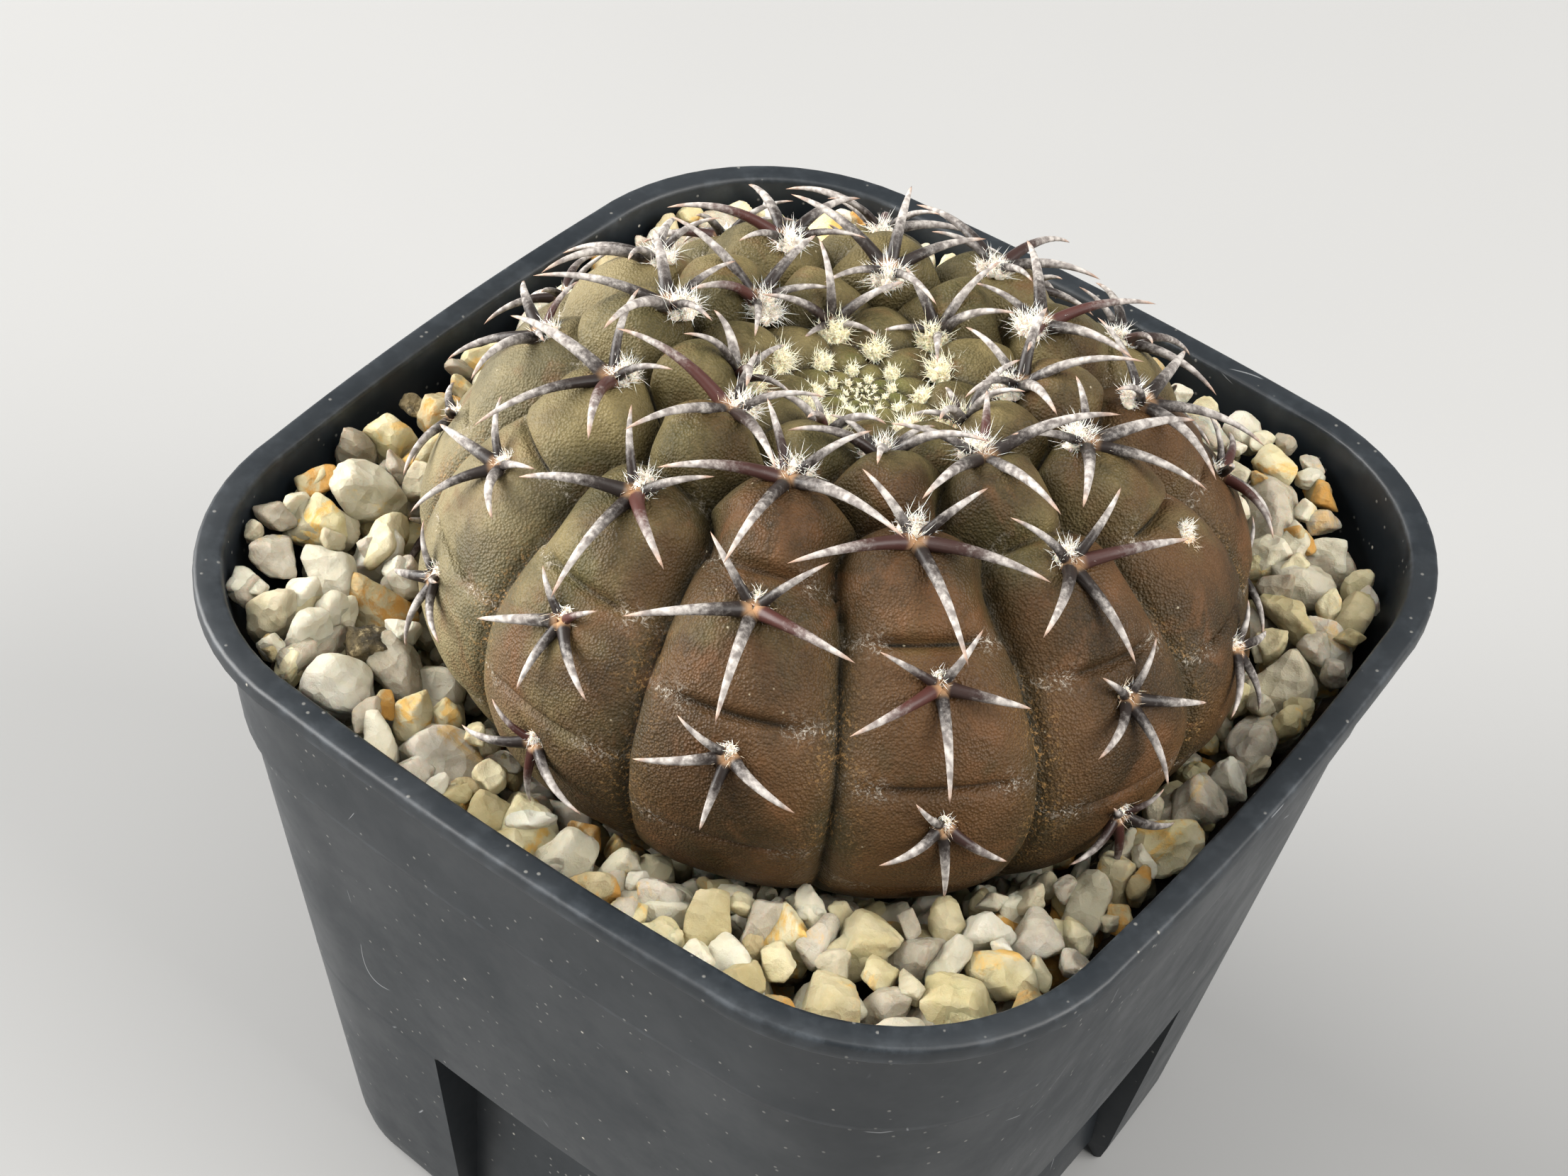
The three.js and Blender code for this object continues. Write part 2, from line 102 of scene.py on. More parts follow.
# ---- spines: turn from straight down the rib, full length, thickness at the root ----
SPINE_PLAN = [(0, 9.0, 0.52), (68, 8.8, 0.56), (-68, 8.8, 0.56), (132, 6.4, 0.42), (-132, 6.4, 0.42)]
SPINE_STEPS = 13
SPINE_SIDES = 10
CLAW = math.radians(15)
HAIR_RADIUS = 0.030

# ---- measures of the grit ----
SEED = 7
GRIT_CELL = 0.4
GRIT_SPAN = 80.0
GRIT_PATIENCE = 420
GRIT_CHOICES = 12
MOST_STONES = 1500
STONE_RADIUS = 2.5
STONE_SHAPES = 32
PLAIN_SHAPES = 26
BARE_RADIUS = 22
BURIED = 2.5

FAR_OFF = 1000.0

scene = bpy.context.scene


def smoothstep(x, low, high):
    t = np.clip((np.asarray(x, float) - low) / (high - low), 0, 1)
    return t * t * (3 - 2 * t)


def lerp(a, b, t):
    return a + (b - a) * t


def scatter(a, b):
    """A repeatable number from 0 to 1 for two whole numbers."""
    s = math.sin(a * 12.9898 + b * 78.233) * 43758.5453
    return s - math.floor(s)


def from_plant(points):
    """Plant coordinates to the pot's: the stem leans a little."""
    return np.asarray(points) @ LEAN.T + STEM_CENTRE


# ---- making pieces ----

def mesh_piece(name, verts, faces, materials, values, material_of=None, replaces=()):
    """A mesh object in metres that rides on the root, with named values at its points."""
    mesh = bpy.data.meshes.new(name)
    mesh.from_pydata((np.asarray(verts) * MM).tolist(), [], faces)
    for material in materials:
        mesh.materials.append(material)
    mesh.shade_smooth()
    if material_of is not None:
        mesh.polygons.foreach_set("material_index", np.asarray(material_of, dtype=np.int32))
    for key, data in values.items():
        layer = mesh.attributes.new(key, "FLOAT", "POINT")
        layer.data.foreach_set("value", np.asarray(data, dtype=np.float32).ravel())
    mesh.update()
    piece = bpy.data.objects.new(name, mesh)
    scene.collection.objects.link(piece)
    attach(piece, "root")
    if replaces:
        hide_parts(*replaces)
    return piece


def grid_faces(rows, columns):
    """Quads between rows of points, with each row closed round."""
    faces = []
    for r in range(rows - 1):
        for c in range(columns):
            a = r * columns + c
            b = r * columns + (c + 1) % columns
            faces.append((a, b, b + columns, a + columns))
    return faces


def on_four_sides(x, y, side):
    """The same points turned to one of the pot's four sides."""
    c, s = math.cos(side * math.pi / 2), math.sin(side * math.pi / 2)
    return x * c - y * s, x * s + y * c


class Heap:
    """Collects many small closed shapes into one mesh."""

    def __init__(self):
        self.verts, self.faces, self.values, self.parts = [], [], {}, []
        self.count = 0

    def add(self, verts, faces, part=0, **values):
        verts = np.asarray(verts, float)
        self.verts.append(verts)
        self.faces.extend(tuple(i + self.count for i in f) for f in faces)
        self.parts.extend([part] * len(faces))
        for key, value in values.items():
            self.values.setdefault(key, []).append(np.broadcast_to(value, (len(verts),)))
        self.count += len(verts)

    def piece(self, name, materials, slot, replaces=()):
        values = {k: np.concatenate(v) for k, v in self.values.items()}
        return mesh_piece(name, np.concatenate(self.verts), self.faces, materials, values,
                          self.parts, replaces)


# ---- material building blocks ----

def new_group(name, inputs, outputs):
    group = bpy.data.node_groups.new(name, "ShaderNodeTree")
    for label, kind, default in inputs:
        socket = group.interface.new_socket(label, in_out="INPUT", socket_type=kind)
        socket.default_value = default
    for label, kind in outputs:
        group.interface.new_socket(label, in_out="OUTPUT", socket_type=kind)
    return group, group.nodes.new("NodeGroupInput"), group.nodes.new("NodeGroupOutput")


class Wiring:
    """Short calls for adding and joining nodes in one tree."""

    def __init__(self, tree):
        self.tree = tree

    def node(self, kind, **settings):
        made = self.tree.nodes.new("ShaderNode" + kind)
        for key, value in settings.items():
            setattr(made, key, value)
        return made

    def join(self, source, target):
        self.tree.links.new(source, target)

    def feed(self, target, value):
        if isinstance(value, bpy.types.NodeSocket):
            self.join(value, target)
        else:
            target.default_value = value

    def place(self):
        return self.node("TexCoord").outputs["Object"]

    def value(self, name):
        return self.node("Attribute", attribute_name=name).outputs["Fac"]

    def noise(self, scale, detail=4.0, roughness=0.55, distortion=0.0):
        made = self.node("TexNoise")
        made.inputs["Scale"].default_value = scale
        made.inputs["Detail"].default_value = detail
        made.inputs["Roughness"].default_value = roughness
        made.inputs["Distortion"].default_value = distortion
        self.join(self.place(), made.inputs["Vector"])
        return made.outputs["Fac"]

    def cells(self, scale):
        made = self.node("TexVoronoi")
        made.inputs["Scale"].default_value = scale
        self.join(self.place(), made.inputs["Vector"])
        return made.outputs["Distance"]

    def ramp(self, source, low, high, out_low=0.0, out_high=1.0):
        made = self.node("MapRange", interpolation_type="SMOOTHSTEP")
        self.feed(made.inputs["Value"], source)
        for label, number in (("From Min", low), ("From Max", high),
                              ("To Min", out_low), ("To Max", out_high)):
            self.feed(made.inputs[label], number)
        return made.outputs["Result"]

    def maths(self, operation, a, b=0.0):
        made = self.node("Math", operation=operation)
        self.feed(made.inputs[0], a)
        self.feed(made.inputs[1], b)
        return made.outputs[0]

    def mix(self, amount, a, b, blend="MIX"):
        made = self.node("Mix", data_type="RGBA", blend_type=blend)
        self.feed(made.inputs[0], amount)
        self.feed(made.inputs[6], a)
        self.feed(made.inputs[7], b)
        return made.outputs[2]

    def tint(self, colour, mask, strength, over):
        """Lays one colour over another where the mask says."""
        return self.mix(self.maths("MULTIPLY", mask, strength), colour, over)

    def sway(self, source, amount):
        """A value that lies around a half, made to lie around nothing."""
        return self.maths("MULTIPLY", self.maths("SUBTRACT", source, 0.5), amount)

    def bump(self, height, strength, distance, under=None):
        made = self.node("Bump")
        made.inputs["Strength"].default_value = strength
        made.inputs["Distance"].default_value = distance
        self.feed(made.inputs["Height"], height)
        if under is not None:
            self.join(under, made.inputs["Normal"])
        return made.outputs["Normal"]

    def group(self, group, **values):
        made = self.node("Group", node_tree=group)
        for key, value in values.items():
            self.feed(made.inputs[key.capitalize()], value)
        return made.outputs[0]


class Finish(Wiring):
    """One material: its surface shader, with even values set on it, and the nodes that feed it."""

    def __init__(self, name, **shader):
        self.material = bpy.data.materials.new(name)
        self.material.use_nodes = True
        self.material.node_tree.nodes.clear()
        super().__init__(self.material.node_tree)
        self.surface = self.node("BsdfPrincipled")
        for key, value in shader.items():
            self.surface.inputs[key.replace("_", " ")].default_value = value
        self.join(self.surface.outputs[0], self.node("OutputMaterial").inputs["Surface"])

    def done(self, colour, relief=None, roughness=None):
        for label, source in (("Base Color", colour), ("Normal", relief), ("Roughness", roughness)):
            if source is not None:
                self.join(source, self.surface.inputs[label])
        return self.material


def rgb(red, green, blue):
    return (red, green, blue, 1.0)


def make_speckle_group():
    """Scattered small specks: a mask from random cells with a soft round edge."""
    group, given, result = new_group(
        "loose specks",
        [("Density", "NodeSocketFloat", 200.0), ("Size", "NodeSocketFloat", 0.3),
         ("Rarity", "NodeSocketFloat", 0.7)],
        [("Mask", "NodeSocketFloat")])
    w = Wiring(group)
    cell = w.node("TexVoronoi")
    w.join(w.place(), cell.inputs["Vector"])
    w.join(given.outputs["Density"], cell.inputs["Scale"])
    split = w.node("SeparateColor")
    w.join(cell.outputs["Color"], split.inputs[0])
    chosen = w.maths("GREATER_THAN", split.outputs[0], given.outputs["Rarity"])
    edge = w.maths("MULTIPLY", given.outputs["Size"], 0.4)
    spot = w.ramp(cell.outputs["Distance"], given.outputs["Size"], edge)
    w.join(w.maths("MULTIPLY", spot, chosen), result.inputs["Mask"])
    return group


def make_scratch_group():
    """Fine curved scratches: thin level lines of a stretched noise, broken into short runs."""
    group, given, result = new_group(
        "fine scratches",
        [("Scale", "NodeSocketFloat", 60.0), ("Width", "NodeSocketFloat", 0.006),
         ("Amount", "NodeSocketFloat", 0.5)],
        [("Mask", "NodeSocketFloat")])
    w = Wiring(group)
    field = w.node("TexNoise")
    field.inputs["Detail"].default_value = 0.0
    field.inputs["Distortion"].default_value = 0.6
    w.join(w.place(), field.inputs["Vector"])
    w.join(given.outputs["Scale"], field.inputs["Scale"])
    away = w.maths("ABSOLUTE", w.maths("SUBTRACT", field.outputs["Fac"], 0.5))
    line = w.ramp(away, given.outputs["Width"], 0.0)
    runs = w.noise(170, 2)
    limit = w.maths("SUBTRACT", 0.85, w.maths("MULTIPLY", given.outputs["Amount"], 0.5))
    kept = w.ramp(runs, limit, w.maths("ADD", limit, 0.05))
    w.join(w.maths("MULTIPLY", line, kept), result.inputs["Mask"])
    return group


def make_mottle_group():
    """Uneven tint from one colour to another in soft patches with finer flecks."""
    group, given, result = new_group(
        "mottled tint",
        [("First", "NodeSocketColor", rgb(0.2, 0.2, 0.2)),
         ("Second", "NodeSocketColor", rgb(0.5, 0.5, 0.5)),
         ("Scale", "NodeSocketFloat", 100.0), ("Flecks", "NodeSocketFloat", 0.3)],
        [("Color", "NodeSocketColor")])
    w = Wiring(group)
    patch = w.node("TexNoise")
    patch.inputs["Detail"].default_value = 5.0
    w.join(w.place(), patch.inputs["Vector"])
    w.join(given.outputs["Scale"], patch.inputs["Scale"])
    fine = w.noise(2600, 2)
    mixed = w.maths("ADD", w.ramp(patch.outputs["Fac"], 0.32, 0.68),
                    w.sway(fine, given.outputs["Flecks"]))
    w.join(w.mix(mixed, given.outputs["First"], given.outputs["Second"]), result.inputs["Color"])
    return group


SPECKS = make_speckle_group()
SCRATCHES = make_scratch_group()
MOTTLE = make_mottle_group()


# ---- materials ----

def make_pot_plastic():
    """Dull black plastic with a cloudy film, dust, crumbs, scratches and paler edges that are partly worn
    and partly a painted edge highlight.
    """
    w = Finish("scuffed pot plastic", Specular_IOR_Level=0.45)
    film = w.ramp(w.noise(55, 6, 0.6), 0.35, 0.75)
    base = w.mix(film, rgb(0.005, 0.008, 0.011), rgb(0.015, 0.018, 0.021))
    dust = w.group(SPECKS, density=1300.0, size=0.22, rarity=0.80)
    crumbs = w.group(SPECKS, density=800.0, size=0.14, rarity=0.95)
    lines = w.group(SCRATCHES, scale=48.0, width=0.0022, amount=0.55)
    marks = w.group(SCRATCHES, scale=170.0, width=0.006, amount=0.45)
    # this mask is partly real wear and partly a painted edge highlight: it pales the lip's edges, the
    # collar's step and the recess's top edge
    wear = w.maths("MULTIPLY", w.value("wear"), w.ramp(w.noise(420, 5, 0.7), 0.42, 0.7))
    colour = w.tint(base, dust, 0.35, rgb(0.32, 0.31, 0.28))
    colour = w.tint(colour, crumbs, 0.75, rgb(0.5, 0.47, 0.4))
    colour = w.tint(colour, lines, 0.45, rgb(0.4, 0.41, 0.42))
    colour = w.tint(colour, marks, 0.25, rgb(0.35, 0.37, 0.4))
    colour = w.tint(colour, wear, 0.22, rgb(0.12, 0.14, 0.16))
    rough = w.ramp(w.noise(90, 5, 0.65), 0.3, 0.7, 0.34, 0.52)
    rough = w.maths("ADD", rough, w.maths("MULTIPLY", wear, 0.06))
    soft = w.bump(w.noise(240, 3), 0.12, 0.0003)
    height = w.maths("SUBTRACT", w.maths("ADD", dust, crumbs), lines)
    return w.done(colour, w.bump(height, 0.3, 0.00008, soft), rough)


def make_stem_skin():
    """Grainy olive skin with pale scurf: redder and darker on the faces turned from the window, partly
    its own red and partly painted shade; paler on the flank facing the window as a painted sheen; painted
    shade in the furrows and the creases.
    """
    w = Finish("cactus skin", Specular_IOR_Level=0.2)
    furrow_shade = w.value("furrow_shade")
    olive = w.group(MOTTLE, first=rgb(0.052, 0.043, 0.014), second=rgb(0.168, 0.132, 0.056),
                    scale=130.0, flecks=0.8)
    brown = w.group(MOTTLE, first=rgb(0.026, 0.015, 0.005), second=rgb(0.080, 0.038, 0.013),
                    scale=110.0, flecks=0.8)
    # browner, darker skin on the right, front and lower faces: partly the skin's own red, partly painted
    # shade away from the window
    patches = w.ramp(w.maths("ADD", w.value("red_and_shaded"), w.sway(w.noise(95, 4), 2.0)), 0.25, 0.8)
    colour = w.mix(patches, olive, brown)
    young = w.group(MOTTLE, first=rgb(0.10, 0.11, 0.022), second=rgb(0.20, 0.17, 0.06), scale=300.0,
                    flecks=0.5)
    colour = w.mix(w.value("fresh"), colour, young)
    # painted sheen: a pale tint on the flank that faces the window
    colour = w.tint(colour, w.value("window_sheen"), 0.32, rgb(0.34, 0.30, 0.20))
    # painted shade darkening the furrow flanks, darkest on the furrow floors
    colour = w.tint(colour, furrow_shade, 0.72, rgb(0.040, 0.032, 0.012))
    colour = w.mix(w.maths("POWER", furrow_shade, 5.0), colour, rgb(0.014, 0.011, 0.005))
    # painted shade: a dark line in the crease under each tubercle's chin
    crease_shade_line = w.ramp(w.value("crease_shade"), 0.42, 0.85)
    colour = w.tint(colour, crease_shade_line, 0.9, rgb(0.012, 0.010, 0.005))
    grain = w.cells(5200)
    colour = w.mix(w.ramp(grain, 0.45, 0.05, 0.0, 0.10), colour, rgb(0.34, 0.22, 0.10))
    blotch = w.ramp(w.noise(210, 6, 0.65, distortion=0.6), 0.52, 0.72)
    colour = w.tint(colour, blotch, 0.6, rgb(0.125, 0.056, 0.021))
    shade = w.ramp(w.noise(150, 5, 0.6), 0.55, 0.75)
    colour = w.tint(colour, shade, 0.6, rgb(0.032, 0.027, 0.010))
    scurf_place = w.maths("ADD", w.value("scar"), w.maths("MULTIPLY", furrow_shade, 0.12))
    scurf = w.maths("MULTIPLY", scurf_place, w.ramp(w.noise(2300, 5, 0.75, distortion=1.5), 0.5, 0.66))
    colour = w.tint(colour, scurf, 0.72, rgb(0.55, 0.50, 0.42))
    dirt = w.ramp(w.noise(3200, 4, 0.75), 0.53, 0.61)
    dirty = w.maths("MULTIPLY", dirt, w.value("dirt"))
    crumbs = w.maths("MULTIPLY", dirty, w.ramp(w.noise(260, 3), 0.36, 0.52))
    colour = w.tint(colour, crumbs, 0.75, rgb(0.44, 0.25, 0.09))
    dust = w.group(SPECKS, density=900.0, size=0.11, rarity=0.88)
    colour = w.tint(colour, dust, 0.7, rgb(0.55, 0.48, 0.34))
    rough = w.ramp(w.noise(400, 4), 0.3, 0.7, 0.46, 0.62)
    lumps = w.bump(w.noise(520, 5, 0.6), 0.5, 0.0003)
    pores = w.bump(grain, 0.8, 0.00012, lumps)
    ridges = w.bump(w.maths("ADD", crumbs, scurf), 0.4, 0.00012, pores)
    return w.done(colour, ridges, rough)


def make_spine_horn():
    """Near black or maroon horn under grey chalk, brown at the tip and the root."""
    w = Finish("chalky spine horn", Specular_IOR_Level=0.25)
    along = w.value("along")
    tone = w.value("tone")
    dark = w.mix(w.ramp(tone, 0.72, 1.0), rgb(0.018, 0.013, 0.011), rgb(0.058, 0.020, 0.016))
    chalk = w.group(MOTTLE, first=rgb(0.20, 0.175, 0.16), second=rgb(0.54, 0.50, 0.46),
                    scale=1700.0, flecks=0.9)
    streaks = w.noise(2600, 5, 0.8)
    start = w.maths("ADD", w.maths("MULTIPLY", tone, 0.34), 0.08)
    reach = w.maths("SUBTRACT", along, start)
    cover = w.ramp(w.maths("ADD", reach, w.sway(streaks, 0.7)), -0.08, 0.42)
    colour = w.mix(w.maths("MULTIPLY", cover, 0.88), dark, chalk)
    tip = w.ramp(along, 0.78, 0.99)
    colour = w.tint(colour, tip, 0.8, rgb(0.42, 0.26, 0.18))
    root = w.ramp(along, 0.1, 0.0)
    colour = w.tint(colour, root, 0.8, rgb(0.50, 0.30, 0.16))
    rough = w.ramp(cover, 0.0, 1.0, 0.38, 0.75)
    return w.done(colour, w.bump(w.noise(1500, 4, 0.7), 0.25, 0.00008), rough)


def make_felt(name, pale, deep):
    """Soft hairs, deeper in colour at the foot."""
    w = Finish(name, Roughness=0.9, Sheen_Weight=0.4, Specular_IOR_Level=0.2,
               Subsurface_Weight=0.25, Subsurface_Scale=0.0006)
    height = w.value("along")
    fine = w.noise(1500, 3)
    colour = w.mix(w.maths("ADD", height, w.sway(fine, 0.5)), deep, pale)
    return w.done(colour, w.bump(w.noise(4000, 2), 0.3, 0.00005))


def make_grit(name, first, second, stain, stain_from, roughness, clear, pitted=0.4):
    """Broken quartz: stain_from says how much of it iron has coloured, clear how far light goes in."""
    w = Finish(name, Specular_IOR_Level=0.45, Subsurface_Weight=clear, Subsurface_Scale=0.0012)
    tone = w.value("tone")
    body = w.group(MOTTLE, first=first, second=second, scale=230.0, flecks=0.5)
    shade = w.mix(tone, rgb(0.50, 0.46, 0.38), rgb(0.77, 0.75, 0.70))
    colour = w.mix(1.0, body, shade, "MULTIPLY")
    cloud = w.ramp(w.noise(520, 5, 0.7, distortion=1.0), 0.45, 0.7)
    colour = w.tint(colour, cloud, 0.2, rgb(0.60, 0.50, 0.30))
    iron = w.ramp(w.maths("ADD", w.noise(190, 6, 0.7, distortion=0.8), w.maths("MULTIPLY", tone, 0.12)),
                  stain_from, stain_from + 0.11)
    colour = w.mix(iron, colour, stain)
    cracks = w.ramp(w.noise(900, 6, 0.8, distortion=2.0), 0.60, 0.74)
    colour = w.tint(colour, cracks, 0.4, rgb(0.22, 0.16, 0.08))
    rough = w.ramp(w.noise(600, 4), 0.3, 0.7, roughness - 0.12, roughness + 0.15)
    strength = min(1.0, pitted * 1.8)
    chips = w.bump(w.cells(780), strength, 0.0007)
    return w.done(colour, w.bump(w.noise(1700, 6, 0.8), strength, 0.0003, chips), rough)


def make_lava():
    w = Finish("porous lava crumb", Roughness=0.9)
    colour = w.group(MOTTLE, first=rgb(0.035, 0.028, 0.016), second=rgb(0.2, 0.15, 0.07),
                     scale=600.0, flecks=0.8)
    crust = w.ramp(w.noise(900, 5, 0.75), 0.52, 0.68)
    colour = w.tint(colour, crust, 0.8, rgb(0.5, 0.4, 0.22))
    holes = w.bump(w.cells(1300), 0.9, 0.0006)
    return w.done(colour, w.bump(w.noise(2600, 4, 0.8), 0.8, 0.0003, holes))


def make_soil():
    w = Finish("dark potting soil", Roughness=0.95)
    colour = w.group(MOTTLE, first=rgb(0.012, 0.008, 0.005), second=rgb(0.06, 0.038, 0.02),
                     scale=500.0, flecks=0.6)
    crumbs = w.bump(w.cells(420), 0.9, 0.0012)
    return w.done(colour, w.bump(w.noise(1600, 5, 0.75), 0.8, 0.0005, crumbs))


def make_root_bark():
    w = Finish("corky root bark", Roughness=0.9)
    colour = w.group(MOTTLE, first=rgb(0.2, 0.12, 0.06), second=rgb(0.42, 0.28, 0.15),
                     scale=260.0, flecks=0.4)
    return w.done(colour, w.bump(w.noise(700, 5, 0.7), 0.6, 0.0006))


# ---- pot ----

def pot_side(z):
    """Half width of the outside below the collar."""
    return lerp(BASE_HALF, COLLAR_FOOT_HALF - COLLAR_STEP, z / (RIM - COLLAR_HEIGHT))


def pot_corner(z):
    """Corner radius of the outside."""
    return lerp(BASE_CORNER, LIP_CORNER - 1, z / RIM)


CORNER_STEPS = 16
RECESS_EDGE = 0.16


def side_stations(half_flat):
    """Places along one side, closer together at the recess's two edges."""
    outer = np.linspace(half_flat, RECESS_HALF + RECESS_EDGE, 5)
    inner = np.linspace(RECESS_HALF - RECESS_EDGE, 0, 6)
    half = np.concatenate([outer, inner])
    return np.concatenate([-half, half[-2::-1]])


def pot_ring(half, corner, z, plane=None, sunk=0.0):
    """A square ring with round corners and bowed sides.

    Between the recess's edges it can be pulled in to a plane, and lifted."""
    flat = half - corner
    ring = []
    for side in range(4):
        along = side_stations(flat)
        out = half + SIDE_BOW * (1 - (along / flat) ** 2)
        height = np.full(len(along), float(z))
        if plane is not None:
            inside = np.abs(along) < RECESS_HALF
            out = np.where(inside, plane, out)
            height = np.where(inside, z + sunk, height)
        angle = np.linspace(-math.pi / 2, 0, CORNER_STEPS + 1)[1:-1]
        x = np.concatenate([along, flat + corner * np.cos(angle)])
        y = np.concatenate([-out, -flat + corner * np.sin(angle)])
        h = np.concatenate([height, np.full(len(angle), float(z))])
        ring.append(np.stack([*on_four_sides(x, y, side), h], axis=1))
    return np.concatenate(ring)


# The rolled lip from its underside outwards, over and in: how far in, how far up, and how much paler,
# which is partly wear and partly a painted edge highlight.
LIP_ROUND = ((0.08, 0.06, 0.8), (0.0, 0.22, 1.0), (0.0, 0.6, 0.4), (0.0, 1.12, 0.5), (0.05, 1.30, 1.0),
             (0.16, 1.44, 1.0), (0.34, 1.5, 0.5), (1.0, 1.47, 0.2), (1.72, 1.5, 0.4), (1.90, 1.45, 0.8),
             (2.03, 1.32, 1.0), (2.10, 1.1, 0.5))


def pot_wall_rows():
    """Rings up the outside, over the lip and down the inside, with how pale each one is painted: partly
    wear, partly a painted edge highlight.
    """
    foot, neck = RIM - COLLAR_HEIGHT, RIM - LIP_HEIGHT
    rows = []

    def row(half, z, wear=0.0, plane=None, sunk=0.0):
        corner = pot_corner(z) + half - pot_side(z)
        rows.append((pot_ring(half, corner, z, plane, sunk), wear))

    panel = RECESS_PLANE
    # the foot, with the recess's open bottom
    for half, z in ((26.8, 0.0), (27.15, 0.15), (27.4, 0.45), (27.5, 0.9)):
        row(half, z, 0.4, panel - 0.3 * (CHANNEL - z), CHANNEL - z)
    row(pot_side(CHANNEL), CHANNEL + 0.01, 0.0, panel - 0.1, 0.0)
    for z in (CHANNEL + 0.3, 8, 13, 18, RECESS_HEIGHT - 0.5):
        row(pot_side(z), z, 0.0, panel)
    # the recess's top edge and the plain wall over it
    row(pot_side(RECESS_HEIGHT), RECESS_HEIGHT - 0.12, 0.2, panel + 0.4)
    row(pot_side(RECESS_HEIGHT), RECESS_HEIGHT + 0.12, 0.5)
    for z in (RECESS_HEIGHT + 0.5, 30, 36, 42, 47, foot - 0.6):
        row(pot_side(z), z)
    # the collar's step, its band and the lip
    row(pot_side(foot), foot - 0.12)
    row(COLLAR_FOOT_HALF - 0.12, foot + 0.02, 0.7)
    row(COLLAR_FOOT_HALF, foot + 0.18, 0.9)
    row(COLLAR_FOOT_HALF + 0.03, foot + 0.6, 0.2)
    for t in (0.25, 0.5, 0.75, 0.92):
        row(lerp(COLLAR_FOOT_HALF, COLLAR_HALF, t), lerp(foot, neck, t))
    row(COLLAR_HALF + 0.05, neck - 0.25)
    row(COLLAR_HALF + 0.35, neck - 0.04)
    row(LIP_HALF - 0.45, neck, 0.3)
    for inset, up, wear in LIP_ROUND:
        row(LIP_HALF - inset, neck + up, wear)
    # down the inside
    inner_lip = LIP_HALF - LIP_WIDTH
    for t in (0.1, 0.3, 0.6, 1.0):
        row(lerp(inner_lip, pot_side(foot) - WALL, t), lerp(RIM - 0.8, foot, t))
    for z in (44, 36, RECESS_HEIGHT + 2.5):
        row(pot_side(z) - WALL, z)
    row(pot_side(RECESS_HEIGHT) - WALL, RECESS_HEIGHT + WALL + 0.2)
    for z in (RECESS_HEIGHT + WALL, 12, CHANNEL + WALL):
        row(pot_side(z) - WALL, z, 0.0, panel - WALL)
    row(26.0, 1.2, 0.0, panel - WALL - 0.4, CHANNEL + WALL - 1.3)
    return rows


def box_shape(low, high):
    """A plain block between two corners."""
    x0, y0, z0 = low
    x1, y1, z1 = high
    verts = [(x0, y0, z0), (x1, y0, z0), (x1, y1, z0), (x0, y1, z0),
             (x0, y0, z1), (x1, y0, z1), (x1, y1, z1), (x0, y1, z1)]
    faces = [(3, 2, 1, 0), (4, 5, 6, 7), (0, 1, 5, 4), (1, 2, 6, 5), (2, 3, 7, 6), (3, 0, 4, 7)]
    return np.array(verts, float), faces


DRAIN_RADIUS = 4.0
DRAIN_PAD = 8.9
SLOT_HALF = 2.25
SLOT_END = 19.0
FOOT_UP = 1.2


def drain_pad(low, high):
    """The square middle of the floor, with a round hole."""
    ring = 48
    angle = np.linspace(0, 2 * math.pi, ring, endpoint=False)
    round_hole = np.stack([np.cos(angle), np.sin(angle)], 1)
    inner = round_hole * DRAIN_RADIUS
    square = DRAIN_PAD / np.maximum(np.abs(np.cos(angle)), np.abs(np.sin(angle)))
    outer = round_hole * square[:, None]
    rows = [(inner, low), (outer, low), (outer, high), (inner, high), (inner, low)]
    verts = np.concatenate([np.column_stack([r, np.full(ring, z)]) for r, z in rows])
    return verts, [f[::-1] for f in grid_faces(len(rows), ring)]


def floor_plate():
    """The raised floor with its drain and four slots, and the four corner feet under it."""
    low, high = CHANNEL, CHANNEL + WALL + 0.1
    reach, recess = RECESS_PLANE - 0.4, RECESS_HALF + 0.2
    shapes = [drain_pad(low, high)]
    for side in range(4):
        for bounds in (((DRAIN_PAD, SLOT_HALF, low), (SLOT_END, DRAIN_PAD, high)),
                       ((DRAIN_PAD, -DRAIN_PAD, low), (SLOT_END, -SLOT_HALF, high)),
                       ((SLOT_END, -DRAIN_PAD, low), (reach, DRAIN_PAD, high)),
                       ((DRAIN_PAD, DRAIN_PAD, low), (reach, recess, high)),
                       ((DRAIN_PAD, -recess, low), (reach, -DRAIN_PAD, high))):
            verts, faces = box_shape(*bounds)
            turned = on_four_sides(verts[:, 0], verts[:, 1], side)
            shapes.append((np.column_stack([*turned, verts[:, 2]]), faces))
    near, far = RECESS_HALF, BASE_HALF - BASE_CORNER * 0.3 - 1.2
    for sx in (-1, 1):
        for sy in (-1, 1):
            for bounds in (((near, near, 0.0), (far, far, FOOT_UP)),
                           ((near, near, 0.0), (near + WALL, far + 1.0, low + WALL)),
                           ((near, near, 0.0), (far + 1.0, near + WALL, low + WALL))):
                verts, faces = box_shape(*bounds)
                verts = verts * (sx, sy, 1)
                shapes.append((verts, faces if sx * sy > 0 else [f[::-1] for f in faces]))
    return shapes


